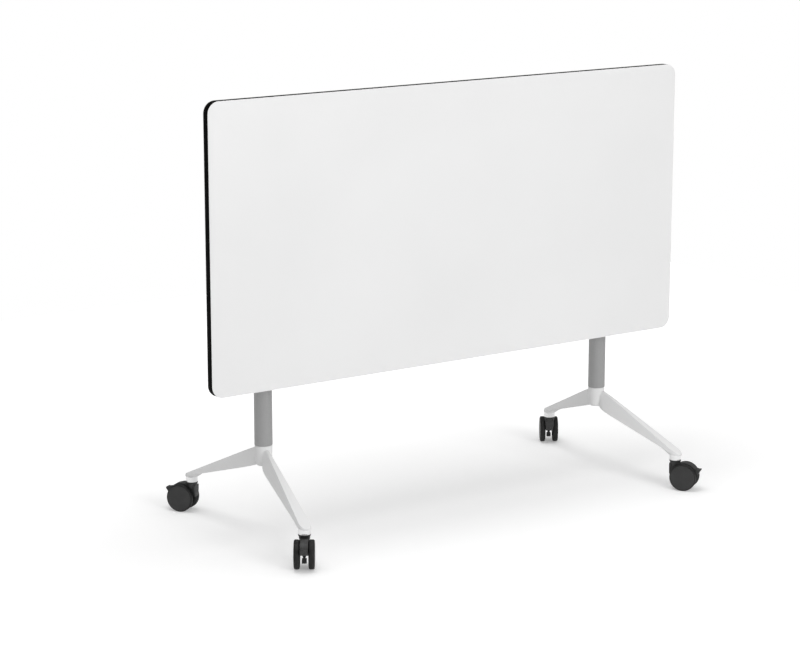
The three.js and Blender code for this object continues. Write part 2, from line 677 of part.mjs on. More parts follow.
// Brake tongue: a narrow neck under the axle and a wider foot
function brakeTongue() {
  const foot = AXLE_Z - TONGUE_DROP;
  const heel = foot + TONGUE_FOOT_HEIGHT;
  const half = CASTOR_WAIST_WIDTH / 2;
  const neck = TONGUE_NECK / 2;
  const root = AXLE_Z - (AXLE_BOSS_RADIUS + AXLE_DIAMETER / 2) / 2;
  const outline = new THREE.Shape();
  outline.moveTo(-half, foot);
  outline.lineTo(half, foot);
  outline.lineTo(half, heel);
  outline.lineTo(neck, heel);
  outline.lineTo(neck, root);
  outline.lineTo(-neck, root);
  outline.lineTo(-neck, heel);
  outline.lineTo(-half, heel);
  return extrudedAcross(outline, TONGUE_LENGTH).translate(AXLE_X, 0, 0);
}

// Castor body: a collar on the stem, an apron in front and a hood between the wheels
function castorBody() {
  const top = FOOT_FACE - RUNNING_GAP;
  const waist = COLLAR_RADIUS - COLLAR_LIP;
  const nearWheel = AXLE_X - Math.sqrt(waist ** 2 - (WHEEL_SPACE / 2 + WHEEL_SHOULDER) ** 2);
  const collarFoot = AXLE_Z + Math.sqrt(WHEEL_RIM ** 2 - nearWheel ** 2) + RUNNING_GAP;
  const collar = revolved('z', [
    [0, collarFoot],
    [waist, collarFoot],
    [waist, top - COLLAR_LIP_HEIGHT],
    [COLLAR_RADIUS, top - COLLAR_LIP_HEIGHT / 2],
    [COLLAR_RADIUS, top],
    [0, top],
  ], COLLAR_FACETS);

  const webFront = WEB_SET_BACK - COLLAR_RADIUS;
  const webFoot = collarFoot - WEB_FRONT_HEIGHT;
  const [bossStart, bossEnd] = AXLE_BOSS_ARC;
  const [hoodEnd, hoodFront] = HOOD_ARC;
  const [socketLow, socketHigh] = KNUCKLE_SOCKET_ARC;
  const bossX = AXLE_X + AXLE_BOSS_RADIUS * Math.cos(bossStart);
  const bossZ = AXLE_Z + AXLE_BOSS_RADIUS * Math.sin(bossStart);
  const side = new THREE.Shape();
  side.moveTo(webFront, collarFoot + WEB_FRONT_CURVE / 2);
  side.lineTo(webFront, webFoot);
  side.quadraticCurveTo(webFront + WEB_FRONT_CURVE, AXLE_Z + WEB_FRONT_CURVE, bossX, bossZ);
  side.absarc(AXLE_X, AXLE_Z, AXLE_BOSS_RADIUS, bossStart, bossEnd);
  side.absarc(KNUCKLE_X, KNUCKLE_Z, KNUCKLE_RADIUS + FIT_GAP, socketLow, socketHigh, true);
  side.absarc(AXLE_X, AXLE_Z, HOOD_RADIUS - HOOD_WALL, HOOD_INNER_END, hoodEnd, true);
  side.absarc(AXLE_X, AXLE_Z, HOOD_RADIUS, hoodEnd, hoodFront);
  const web = extrudedAside(side, CASTOR_BODY_WIDTH);

  const apronFoot = WHEEL_DIAMETER - APRON_BELOW_WHEEL_TOP;
  const apronBack = APRON_SET_BACK + APRON_THICKNESS - COLLAR_RADIUS;
  const wheelReach = Math.max(WHEEL_RIM + RUNNING_GAP, AXLE_X - apronBack);
  const wheelTop = AXLE_Z + Math.sqrt(wheelReach ** 2 - (AXLE_X - apronBack) ** 2);
  const apronWaist = Math.max(wheelTop, apronFoot + RUNNING_GAP);
  const front = new THREE.Shape();
  front.moveTo(-CASTOR_BODY_WIDTH / 2, apronFoot);
  front.lineTo(CASTOR_BODY_WIDTH / 2, apronFoot);
  front.lineTo(CASTOR_BODY_WIDTH / 2, apronWaist);
  front.lineTo(waist, collarFoot);
  front.lineTo(waist, top - COLLAR_LIP_HEIGHT);
  front.lineTo(-waist, top - COLLAR_LIP_HEIGHT);
  front.lineTo(-waist, collarFoot);
  front.lineTo(-CASTOR_BODY_WIDTH / 2, apronWaist);
  const apron = extrudedAcross(front, APRON_THICKNESS);
  apron.translate(apronBack - APRON_THICKNESS / 2, 0, 0);

  const stemBore = bar('z', STEM_DIAMETER / 2 + FIT_GAP, top - STEM_DEPTH_IN_BODY, FOOT_FACE);
  const axleBore = bar('y', AXLE_DIAMETER / 2 + FIT_GAP, -WHEEL_RADIUS, WHEEL_RADIUS);
  axleBore.translate(AXLE_X, 0, AXLE_Z);
  const body = joined(collar, web, apron, brakeTongue());
  return toGeometry(cutFrom(body, stemBore, axleBore, ...waistCutters()));
}

function castorStem() {
  const low = FOOT_FACE - RUNNING_GAP - STEM_DEPTH_IN_BODY + FIT_GAP;
  return bar('z', STEM_DIAMETER / 2, low, FOOT_FACE + STEM_DEPTH_IN_FOOT);
}

const WHEEL_OUTER_FACE = WHEEL_SPACE / 2 + WHEEL_WIDTH;
const AXLE_END = WHEEL_OUTER_FACE - AXLE_SHORT_OF_FACE;

function castorAxle() {
  const axle = bar('y', AXLE_DIAMETER / 2, -AXLE_END, AXLE_END);
  return axle.translate(AXLE_X, 0, AXLE_Z);
}

// Wheel: a closed outer disc, a tread with soft shoulders and a hollow inner side round the hub
function castorWheel() {
  const tread = WHEEL_RIM - WHEEL_SHOULDER;
  const hollow = WHEEL_RIM - WHEEL_RIM_WALL;
  const inner = WHEEL_SPACE / 2;
  const outer = WHEEL_OUTER_FACE;
  const bore = AXLE_DIAMETER / 2 + FIT_GAP;
  const wheel = revolved('y', [
    [0, AXLE_END + FIT_GAP],
    [bore, AXLE_END + FIT_GAP],
    [bore, inner],
    [WHEEL_HUB_RADIUS, inner],
    [WHEEL_HUB_RADIUS, inner + WHEEL_HOLLOW],
    [hollow, inner + WHEEL_HOLLOW],
    [hollow, inner],
    [tread, inner],
    [WHEEL_RIM, inner + WHEEL_SHOULDER],
    [WHEEL_RIM, outer - WHEEL_SHOULDER],
    [tread, outer],
    [0, outer],
  ], WHEEL_FACETS);
  return wheel.rotateY(Math.PI / WHEEL_FACETS);
}

// Brake pedal: a knuckle in the body and a toe tab behind the wheels
function brakePedal() {
  const [knuckleStart, knuckleEnd] = KNUCKLE_ARC;
  const side = new THREE.Shape();
  side.absarc(KNUCKLE_X, KNUCKLE_Z, KNUCKLE_RADIUS, knuckleStart, knuckleEnd);
  for (const [beyond, above] of PEDAL_OUTLINE) {
    side.lineTo(AXLE_X + WHEEL_RADIUS + beyond, AXLE_Z + above);
  }
  return extrudedAside(side, PEDAL_WIDTH);
}

// Assembly: frame
const table = new THREE.Group();

for (const [name, hand] of [['left', -1], ['right', 1]]) {
  const side = new THREE.Group();
  side.position.x = hand * COLUMN_X;
  table.add(side);
  addPiece(side, `base_casting_${name}`, baseCasting(hand), 'castAluminium');
  addPiece(side, `column_${name}`, column(), 'powderCoat');
  addPiece(side, `tie_bolt_${name}`, tieBolt(), 'steel');
  addPiece(side, `pivot_head_${name}`, pivotHead(), 'castAluminium').position.z = PIVOT_HEIGHT;
  addPiece(side, `stow_pad_${name}`, stowPad(), 'rubber');
  addPiece(side, `use_pad_${name}`, usePad(), 'rubber').position.z = PIVOT_HEIGHT;
  const cap = addPiece(table, `beam_cap_${name}`, beamCap(), 'blackNylon');
  cap.position.z = PIVOT_HEIGHT;
  if (hand < 0) cap.rotation.z = Math.PI;
}

const beamRadius = BEAM_DIAMETER / 2;
const beam = tube('x', beamRadius, beamRadius - BEAM_WALL, -BEAM_END, BEAM_END, BARREL_FACETS);
addPiece(table, 'pivot_beam', beam, 'powderCoat').position.z = PIVOT_HEIGHT;

// Assembly: top, built level about the pivot and then turned to its stowed place
const top = new THREE.Group();
top.position.z = PIVOT_HEIGHT;
top.rotation.x = STOWED_TURN;
table.add(top);

for (const [name, geometry, finish] of [
  ['top_panel', topPanel(), 'laminate'],
  ['edge_band', edgeBand(), 'blackEdge'],
]) {
  addPiece(top, name, geometry, finish).position.set(0, -PIVOT_BEHIND_MIDDLE, PIVOT_TO_UNDERSIDE);
}

for (const [name, hand] of [['left', -1], ['right', 1]]) {
  const end = new THREE.Group();
  end.position.x = hand * COLUMN_X;
  top.add(end);
  addPiece(end, `tilt_bracket_${name}`, tiltBracket(), 'steel');
  addPiece(end, `lock_hook_${name}`, lockHook(), 'steel');
  addPiece(end, `pivot_bush_${name}_1`, pivotBush(), 'blackNylon').rotation.z = Math.PI;
  addPiece(end, `pivot_bush_${name}_2`, pivotBush(), 'blackNylon');
}
addPiece(top, 'lock_bar', lockBar(), 'steel');
addPiece(top, 'lock_paddle', lockPaddle(), 'blackNylon');

// Assembly: castors, each trailing outwards from its foot
for (const [depthName, end] of [['front', -1], ['rear', 1]]) {
  for (const [lengthName, hand] of [['left', -1], ['right', 1]]) {
    const castor = new THREE.Group();
    const name = `castor_${depthName}_${lengthName}`;
    castor.position.set(hand * (COLUMN_X + FOOT_SPLAY), end * FOOT_SPREAD / 2, 0);
    castor.rotation.z = end * (Math.PI / 2 - hand * CASTOR_TURN_FROM_DEPTH);
    table.add(castor);
    addPiece(castor, `${name}_stem`, castorStem(), 'steel');
    addPiece(castor, `${name}_body`, castorBody(), 'blackNylon');
    addPiece(castor, `${name}_axle`, castorAxle(), 'steel');
    addPiece(castor, `${name}_pedal`, brakePedal(), 'blackNylon');
    for (const number of [1, 2]) {
      const wheel = addPiece(castor, `${name}_wheel_${number}`, castorWheel(), 'blackNylon');
      wheel.position.set(AXLE_X, 0, AXLE_Z);
      if (number === 2) wheel.rotation.z = Math.PI;
    }
  }
}

export default table;
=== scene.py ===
# %% [markdown]
# # A flip top training table
# The table stands stowed: its white top is turned upright on a cross beam, two round columns carry the beam,
# and each column stands in a cast base with two sloping arms and a castor under each arm.
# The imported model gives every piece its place. This lesson gives the pieces their finished shapes and surfaces.

import json
import math

import bmesh
import bpy
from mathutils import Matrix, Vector

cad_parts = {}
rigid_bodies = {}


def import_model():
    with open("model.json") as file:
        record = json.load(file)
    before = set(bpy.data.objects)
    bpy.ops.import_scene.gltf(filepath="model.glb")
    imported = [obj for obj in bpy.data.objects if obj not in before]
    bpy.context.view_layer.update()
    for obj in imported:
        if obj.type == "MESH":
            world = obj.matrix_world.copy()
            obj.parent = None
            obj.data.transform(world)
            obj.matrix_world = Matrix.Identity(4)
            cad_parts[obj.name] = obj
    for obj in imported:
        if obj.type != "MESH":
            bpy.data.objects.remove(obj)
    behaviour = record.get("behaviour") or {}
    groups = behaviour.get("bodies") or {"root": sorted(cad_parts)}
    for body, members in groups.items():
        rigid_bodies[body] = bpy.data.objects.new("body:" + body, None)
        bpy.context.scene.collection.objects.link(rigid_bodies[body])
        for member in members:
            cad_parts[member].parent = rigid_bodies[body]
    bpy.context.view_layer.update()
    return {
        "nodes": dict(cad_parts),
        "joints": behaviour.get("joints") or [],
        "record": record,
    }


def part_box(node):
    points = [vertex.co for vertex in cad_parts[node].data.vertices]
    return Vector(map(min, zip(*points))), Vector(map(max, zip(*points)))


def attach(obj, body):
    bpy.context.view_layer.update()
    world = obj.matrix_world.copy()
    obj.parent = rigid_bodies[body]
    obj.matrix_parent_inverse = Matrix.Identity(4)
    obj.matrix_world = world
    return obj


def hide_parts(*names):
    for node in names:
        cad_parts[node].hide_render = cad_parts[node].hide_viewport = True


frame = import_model()
JOINTS = {joint["name"]: joint for joint in frame["joints"]}
MM = 0.001

# %% [markdown]
# ## Camera
# The viewpoint was worked out from the corners of the top, the columns and the castors in a picture of the table.
# A long lens from five metres away keeps the edges nearly parallel.

# %% Camera
CAMERA_PLACE = Vector((-2.9341, -4.1476, 1.5208))
CAMERA_TILT = math.radians(77.456)
CAMERA_TURN = math.radians(-34.351)
CAMERA_LENS = 108.315

bpy.ops.object.camera_add(location=CAMERA_PLACE, rotation=(CAMERA_TILT, 0, CAMERA_TURN))
camera = bpy.context.object
camera.data.lens = CAMERA_LENS
camera.data.sensor_width = 36
camera.data.clip_end = 100
bpy.context.scene.camera = camera
print("camera at", [round(v, 2) for v in camera.location])

# %% [markdown]
# ## Floor and light
# The table is shown on plain white. The floor takes light and shadow as white paint does, and a glow that only the eye
# and mirrors see lifts it to white. The glow is fainter near the table, which lets the real shadows show and also
# paints a broad shade on the floor around the table. To the eye the sky is white as well, so the edge of the floor does
# not show. Mirrors see the sky in greys, as they see the dim walls of a studio, so that polished metal has something to
# reflect. A soft lamp on the ceiling and one far in front do the rest.

# %% Floor and light
FLOOR_SIZE = 4.4
# Near the table the glow is faint, which paints a broad shade on the floor there; far away it lifts the floor to white.
GLOW_NEAR_PAINTED_SHADE = (0.05, 0.16)
GLOW_FAR = (1.1, 0.58)
MIRROR_SHARE = 0.4
SKY_LIGHT = 0.53
SKY_BANDS = ((0.0, 0.42), (0.35, 0.42), (0.62, 0.24), (0.90, 0.32))

scene = bpy.context.scene
scene.view_settings.view_transform = "Standard"


def add_node(tree, kind, **settings):
    """A shader node with some of its properties set."""
    node = tree.nodes.new(kind)
    for name, value in settings.items():
        setattr(node, name, value)
    return node


def seen_directly(tree):
    """A socket that is 1 for rays from the camera or through a glass, less for a mirror, and 0 for bounced light."""
    path = add_node(tree, "ShaderNodeLightPath")
    mirror = add_node(tree, "ShaderNodeMath", operation="MULTIPLY")
    mirror.inputs[1].default_value = MIRROR_SHARE
    tree.links.new(path.outputs["Is Glossy Ray"], mirror.inputs[0])
    seen = mirror.outputs[0]
    for ray in ("Is Camera Ray", "Is Transmission Ray"):
        either = add_node(tree, "ShaderNodeMath", operation="MAXIMUM")
        tree.links.new(path.outputs[ray], either.inputs[0])
        tree.links.new(seen, either.inputs[1])
        seen = either.outputs[0]
    return seen


def floor_glow_and_painted_shade(tree):
    """A glow that grows with the distance from the table, in ovals along it, so that a broad shade is painted on the
    floor near the table.
    """
    where = add_node(tree, "ShaderNodeTexCoord")
    oval = add_node(tree, "ShaderNodeMapping")
    oval.inputs["Scale"].default_value = (0.5, 1, 1)
    distance = add_node(tree, "ShaderNodeVectorMath", operation="LENGTH")
    spread = add_node(tree, "ShaderNodeMapRange", interpolation_type="SMOOTHSTEP")
    for end, (radius, level) in (("Min", GLOW_NEAR_PAINTED_SHADE), ("Max", GLOW_FAR)):
        spread.inputs["From " + end].default_value = radius
        spread.inputs["To " + end].default_value = level
    tree.links.new(where.outputs["Object"], oval.inputs["Vector"])
    tree.links.new(oval.outputs["Vector"], distance.inputs[0])
    tree.links.new(distance.outputs["Value"], spread.inputs["Value"])
    return spread.outputs["Result"]


def make_floor():
    bpy.ops.object.select_all(action="DESELECT")
    bpy.ops.mesh.primitive_plane_add(size=FLOOR_SIZE)
    floor = bpy.context.object
    floor.name = "floor"
    material = bpy.data.materials.new("white_floor")
    material.use_nodes = True
    tree = material.node_tree
    tree.nodes.clear()
    paint = add_node(tree, "ShaderNodeBsdfDiffuse")
    paint.inputs["Color"].default_value = (0.86, 0.86, 0.86, 1)
    glow = add_node(tree, "ShaderNodeEmission")
    level = add_node(tree, "ShaderNodeMath", operation="MULTIPLY")
    both = add_node(tree, "ShaderNodeAddShader")
    output = add_node(tree, "ShaderNodeOutputMaterial")
    tree.links.new(seen_directly(tree), level.inputs[0])
    # The glow is fainter near the table: a painted shade on the floor around it, added to the real shadows.
    tree.links.new(floor_glow_and_painted_shade(tree), level.inputs[1])
    tree.links.new(level.outputs[0], glow.inputs["Strength"])
    tree.links.new(paint.outputs[0], both.inputs[0])
    tree.links.new(glow.outputs[0], both.inputs[1])
    tree.links.new(both.outputs[0], output.inputs["Surface"])
    floor.data.materials.append(material)


def sky_bands(tree):
    """Grey levels of the studio by height, from the horizon at 0 to the zenith at 1."""
    where = add_node(tree, "ShaderNodeTexCoord")
    split = add_node(tree, "ShaderNodeSeparateXYZ")
    ramp = add_node(tree, "ShaderNodeValToRGB")
    stops = ramp.color_ramp.elements
    while len(stops) < len(SKY_BANDS):
        stops.new(0.5)
    for stop, (height, grey) in zip(stops, SKY_BANDS):
        stop.position = height
        stop.color = (grey, grey, grey, 1)
    tree.links.new(where.outputs["Generated"], split.inputs[0])
    tree.links.new(split.outputs["Z"], ramp.inputs["Fac"])
    return ramp.outputs["Color"]


def make_sky():
    world = bpy.data.worlds.new("studio")
    scene.world = world
    world.use_nodes = True
    tree = world.node_tree
    tree.nodes.clear()
    path = add_node(tree, "ShaderNodeLightPath")
    light, white, walls = (add_node(tree, "ShaderNodeBackground") for _ in range(3))
    light.inputs["Color"].default_value = (SKY_LIGHT, SKY_LIGHT, SKY_LIGHT, 1)
    white.inputs["Color"].default_value = (1, 1, 1, 1)
    tree.links.new(sky_bands(tree), walls.inputs["Color"])
    shown = light
    for ray, seen in (("Is Camera Ray", white), ("Is Transmission Ray", white), ("Is Glossy Ray", walls)):
        mix = add_node(tree, "ShaderNodeMixShader")
        tree.links.new(path.outputs[ray], mix.inputs["Fac"])
        tree.links.new(shown.outputs[0], mix.inputs[1])
        tree.links.new(seen.outputs[0], mix.inputs[2])
        shown = mix
    output = add_node(tree, "ShaderNodeOutputWorld")
    tree.links.new(shown.outputs[0], output.inputs["Surface"])


def add_lamp(name, place, aim, size, power):
    bpy.ops.object.light_add(type="AREA", location=place)
    lamp = bpy.context.object
    lamp.name = name
    lamp.data.size = size
    lamp.data.energy = power
    lamp.rotation_euler = (Vector(aim) - Vector(place)).to_track_quat("-Z", "Y").to_euler()


make_floor()
make_sky()
add_lamp("ceiling_lamp", (-0.8, -0.2, 5.0), (0, 0, 0), 2.4, 60)
add_lamp("front_lamp", (0.8, -8.0, 3.0), (0, 0, 0.5), 4.0, 265)
print("lamps:", [light.name for light in bpy.data.lights])

# %% [markdown]
# ## Working habits
# Blender's operators work on whatever is selected, so every step here starts by selecting just one piece.
# In edit mode, vertices, edges and faces are picked by their place.

# %% Selecting and changing
def select_only(piece):
    bpy.ops.object.select_all(action="DESELECT")
    piece.select_set(True)
    bpy.context.view_layer.objects.active = piece


def start_editing(piece):
    select_only(piece)
    bpy.ops.object.mode_set(mode="EDIT")
    bpy.ops.mesh.select_all(action="SELECT")


def stop_editing():
    """Points all faces outwards and leaves edit mode."""
    bpy.ops.mesh.select_all(action="SELECT")
    bpy.ops.mesh.normals_make_consistent(inside=False)
    bpy.ops.object.mode_set(mode="OBJECT")


def pick(kind, test):
    """In edit mode, selects the vertices, edges or faces that pass a test, and counts them."""
    piece = bpy.context.edit_object
    bpy.ops.mesh.select_mode(type=kind)
    bpy.ops.mesh.select_all(action="DESELECT")
    mesh = bmesh.from_edit_mesh(piece.data)
    mesh.normal_update()
    parts = {"VERT": mesh.verts, "EDGE": mesh.edges, "FACE": mesh.faces}[kind]
    chosen = [part for part in parts if test(part)]
    for part in chosen:
        part.select_set(True)
    mesh.select_flush_mode()
    bmesh.update_edit_mesh(piece.data)
    return len(chosen)


def middle_of(part):
    """The middle of an edge or face."""
    return sum((vertex.co for vertex in part.verts), Vector()) / len(part.verts)


def modify(piece, kind, **settings):
    """Adds a modifier, sets it and applies it."""
    select_only(piece)
    bpy.ops.object.modifier_add(type=kind)
    modifier = piece.modifiers[-1]
    for name, value in settings.items():
        setattr(modifier, name, value)
    bpy.ops.object.modifier_apply(modifier=modifier.name)


def soften(piece, width, segments=2, sharper_than=35):
    """Rounds every edge that turns more sharply than an angle in degrees."""
    limit = math.radians(sharper_than)
    modify(piece, "BEVEL", width=width, segments=segments, limit_method="ANGLE", angle_limit=limit)


def combine(piece, other, operation="UNION", solver="EXACT"):
    """Joins another piece to this one, or cuts it out of this one."""
    modify(piece, "BOOLEAN", object=other, operation=operation, solver=solver)
    bpy.data.objects.remove(other)


def clear_crumbs(piece):
    """Merges the tiny edges that joins leave, because they would keep a bevel from its width."""
    start_editing(piece)
    bpy.ops.mesh.remove_doubles(threshold=0.08 * MM)
    bpy.ops.mesh.select_all(action="SELECT")
    bpy.ops.mesh.dissolve_limited(angle_limit=math.radians(1))
    stop_editing()


def placed_copy(model, place=(0, 0, 0), turn=0):
    """A copy with its own mesh, turned about Z and moved to its place."""
    select_only(model)
    bpy.ops.object.duplicate()
    copy = bpy.context.object
    copy.rotation_euler = (0, 0, turn)
    copy.location = place
    bpy.ops.object.transform_apply(location=True, rotation=True, scale=True)
    return copy


def finish_piece(piece, name, body, slot, stands_for=(), smooth=35):
    """Names a piece, smooths it, gives it its finish and lets it ride on its body."""
    select_only(piece)
    bpy.ops.object.transform_apply(location=True, rotation=True, scale=True)
    start_editing(piece)
    bpy.ops.mesh.dissolve_degenerate(threshold=0.01 * MM)
    stop_editing()
    bpy.ops.object.shade_smooth_by_angle(angle=math.radians(smooth))
    piece.name = name
    piece.data.name = name
    if not piece.data.materials:
        piece.data.materials.append(FINISHES[slot])
    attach(piece, body)
    if stands_for:
        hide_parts(*stands_for)
    return piece


print("axes: X along the top, Y from the work face to the back, Z up")

# %% [markdown]
# ## Drawing
# Most pieces start as a line that is drawn the way it is done by hand: one vertex is pulled from corner to corner.
# A closed line that is filled and pulled out makes a plate, a line that is spun about an axis makes a turned piece,
# and a row of closed lines that are bridged makes a skin. All of them stand across one of the three axes.

# %% Drawing lines, plates and turned pieces
ACROSS = {
    "X": lambda first, second, along: Vector((along, first, second)),
    "Y": lambda first, second, along: Vector((first, along, second)),
    "Z": lambda first, second, along: Vector((first, second, along)),
}


def mm(pairs):
    """Pairs of millimetres as pairs of metres."""
    return [(first * MM, second * MM) for first, second in pairs]


def arc(centre, radius, start, end, steps):
    """Points on an arc between two angles in degrees, both ends included."""
    angles = [math.radians(start + (end - start) * i / steps) for i in range(steps + 1)]
    return [(centre[0] + radius * math.cos(a), centre[1] + radius * math.sin(a)) for a in angles]


def new_drawing():
    """An empty mesh, left in edit mode."""
    bpy.ops.object.select_all(action="DESELECT")
    bpy.ops.mesh.primitive_plane_add(size=MM)
    bpy.ops.object.mode_set(mode="EDIT")
    bpy.ops.mesh.delete(type="VERT")
    return bpy.context.object


def draw_line(points, closed=False):
    """In edit mode, pulls one vertex from point to point."""
    bpy.ops.mesh.select_mode(type="VERT")
    bpy.ops.mesh.select_all(action="DESELECT")
    bpy.ops.mesh.primitive_plane_add(size=MM, location=points[0])
    bpy.ops.mesh.merge(type="CENTER")
    for here, there in zip(points, points[1:]):
        bpy.ops.mesh.extrude_vertices_move(TRANSFORM_OT_translate={"value": there - here})
    if closed:
        ends = (points[0], points[-1])
        pick("VERT", lambda vertex: min((vertex.co - end).length for end in ends) < 0.001 * MM)
        bpy.ops.mesh.edge_face_add()


def draw_plate(outline, low, high, axis):
    """Draws an outline across an axis, fills it and pulls it out from low to high along that axis."""
    place = ACROSS[axis]
    piece = new_drawing()
    draw_line([place(first, second, low) for first, second in outline])
    bpy.ops.mesh.select_all(action="SELECT")
    bpy.ops.mesh.edge_face_add()
    bpy.ops.mesh.extrude_region_move(TRANSFORM_OT_translate={"value": place(0, 0, high - low)})
    stop_editing()
    return piece


def turn_piece(profile, axis, centre=(0, 0), steps=64):
    """Turns a line of (radius, place) pairs about an axis, as on a lathe."""
    place = ACROSS[axis]
    piece = new_drawing()
    draw_line([place(centre[0] + radius, centre[1], along) for radius, along in profile])
    bpy.ops.mesh.select_all(action="SELECT")
    bpy.ops.mesh.spin(steps=steps, angle=2 * math.pi, center=place(*centre, 0), axis=place(0, 0, 1))
    bpy.ops.mesh.select_all(action="SELECT")
    bpy.ops.mesh.remove_doubles(threshold=0.001 * MM)
    stop_editing()
    return piece


def add_bar(axis, radius, low, high, centre=(0, 0), steps=48):
    """A plain round bar, to cut or join with."""
    return turn_piece([(0, low), (radius, low), (radius, high), (0, high)], axis, centre, steps)


def add_block(low, high):
    """A plain block between two corners, to cut or join with."""
    bpy.ops.object.select_all(action="DESELECT")
    low, high = Vector(low), Vector(high)
    bpy.ops.mesh.primitive_cube_add(size=1, location=(low + high) / 2)
    block = bpy.context.object
    block.scale = high - low
    bpy.ops.object.transform_apply(location=True, rotation=True, scale=True)
    return block


print("planes to draw in:", sorted(ACROSS))

# %% [markdown]
# ## Finishes
# Each finish starts from the plain colour of the real material. Fine noise then moves the colour a little, roughens
# or polishes the gloss in patches, and lifts the surface as the grain of a laminate, the peel of a powder coat or the
# soft spark erosion of a plastic mould does. All patterns read Object coordinates, in metres.

# %% Tools for finishes
FINISHES = {}


def start_finish(name, metallic=0.0):
    """A new material with its shader."""
    material = bpy.data.materials.new(name)
    material.use_nodes = True
    tree = material.node_tree
    shader = tree.nodes["Principled BSDF"]
    shader.inputs["Metallic"].default_value = metallic
    FINISHES[name] = material
    return tree, shader


def noise(tree, scale, detail=3.0, stretch=(1, 1, 1)):
    """Soft random patches, with a scale in patches per metre."""
    where = add_node(tree, "ShaderNodeTexCoord")
    mapping = add_node(tree, "ShaderNodeMapping")
    mapping.inputs["Scale"].default_value = stretch
    pattern = add_node(tree, "ShaderNodeTexNoise")
    pattern.inputs["Scale"].default_value = scale
    pattern.inputs["Detail"].default_value = detail
    tree.links.new(where.outputs["Object"], mapping.inputs["Vector"])
    tree.links.new(mapping.outputs["Vector"], pattern.inputs["Vector"])
    return pattern.outputs["Fac"]


def shade_between(tree, shader, pattern, dark, light):
    """Colours a surface between two greys by a pattern."""
    ramp = add_node(tree, "ShaderNodeValToRGB")
    ramp.color_ramp.elements[0].position = 0.3
    ramp.color_ramp.elements[0].color = (dark, dark, dark, 1)
    ramp.color_ramp.elements[1].position = 0.7
    ramp.color_ramp.elements[1].color = (light, light, light, 1)
    tree.links.new(pattern, ramp.inputs["Fac"])
    tree.links.new(ramp.outputs["Color"], shader.inputs["Base Color"])


def roughen(tree, shader, pattern, smooth, rough):
    """Lets the gloss wander between two roughnesses."""
    spread = add_node(tree, "ShaderNodeMapRange")
    spread.inputs["From Min"].default_value = 0.3
    spread.inputs["From Max"].default_value = 0.7
    spread.inputs["To Min"].default_value = smooth
    spread.inputs["To Max"].default_value = rough
    tree.links.new(pattern, spread.inputs["Value"])
    tree.links.new(spread.outputs["Result"], shader.inputs["Roughness"])


def emboss(tree, shader, pattern, height, strength=0.3):
    """Lifts the surface by a pattern, with a height in metres."""
    bump = add_node(tree, "ShaderNodeBump")
    bump.inputs["Strength"].default_value = strength
    bump.inputs["Distance"].default_value = height
    tree.links.new(pattern, bump.inputs["Height"])
    tree.links.new(bump.outputs["Normal"], shader.inputs["Normal"])


print("a finish has a colour, a gloss and a grain")

# %% [markdown]
# ### Board, band and paint
# The laminate is white with a very fine matt grain. The band is black plastic with little gloss, so that it stays
# black under a bright sky. The columns and the beam have a silver grey powder coat, whose metal flakes show as fine
# speckle.

# %% Board, band and paint
def laminate_finish():
    tree, shader = start_finish("laminate")
    shade_between(tree, shader, noise(tree, 3, 2), 0.845, 0.875)
    roughen(tree, shader, noise(tree, 40), 0.42, 0.52)
    emboss(tree, shader, noise(tree, 1400, 2), 0.0002, 0.12)
    shader.inputs["Specular IOR Level"].default_value = 0.3


def black_edge_finish():
    tree, shader = start_finish("black_edge")
    shade_between(tree, shader, noise(tree, 25), 0.002, 0.004)
    roughen(tree, shader, noise(tree, 120), 0.5, 0.6)
    emboss(tree, shader, noise(tree, 900, 2), 0.0002, 0.15)
    shader.inputs["Specular IOR Level"].default_value = 0.02


def powder_coat_finish():
    tree, shader = start_finish("powder_coat", metallic=0.25)
    shade_between(tree, shader, noise(tree, 2200, 1), 0.31, 0.39)
    roughen(tree, shader, noise(tree, 90), 0.38, 0.48)
    emboss(tree, shader, noise(tree, 420, 2), 0.0003, 0.14)


laminate_finish()
black_edge_finish()
powder_coat_finish()
print("finishes:", sorted(FINISHES))

# %% [markdown]
# ### Metal
# The bases and the pivot heads are aluminium castings, polished but not to a mirror: broad patches differ in tone and
# gloss. Their machined faces are brighter and have fine turning marks. The brackets, the bar and the bolts are zinc
# plated steel, darker and duller.

# %% Metal
def cast_aluminium_finish():
    tree, shader = start_finish("cast_aluminium", metallic=1.0)
    shade_between(tree, shader, noise(tree, 18, 4), 0.86, 0.93)
    roughen(tree, shader, noise(tree, 30, 4), 0.11, 0.16)
    emboss(tree, shader, noise(tree, 260, 2), 0.0002, 0.04)


def machined_finish():
    tree, shader = start_finish("machined", metallic=1.0)
    shade_between(tree, shader, noise(tree, 300, 2, (1, 1, 8)), 0.80, 0.88)
    roughen(tree, shader, noise(tree, 500, 2, (1, 1, 8)), 0.16, 0.24)


def steel_finish():
    tree, shader = start_finish("steel", metallic=1.0)
    shade_between(tree, shader, noise(tree, 60, 4), 0.36, 0.47)
    roughen(tree, shader, noise(tree, 140), 0.3, 0.45)
    emboss(tree, shader, noise(tree, 700, 2), 0.0001, 0.1)


cast_aluminium_finish()
machined_finish()
steel_finish()
print("finishes:", sorted(FINISHES))

# %% [markdown]
# ### Plastic and rubber
# Castor bodies and wheel discs are moulded black nylon, which is really a dark grey with a satin mould grain. The
# treads are softer and darker, and the pads are matt rubber.

# %% Plastic and rubber
def black_nylon_finish():
    tree, shader = start_finish("black_nylon")
    shade_between(tree, shader, noise(tree, 45), 0.022, 0.032)
    roughen(tree, shader, noise(tree, 300), 0.42, 0.55)
    emboss(tree, shader, noise(tree, 1600, 2), 0.0002, 0.2)


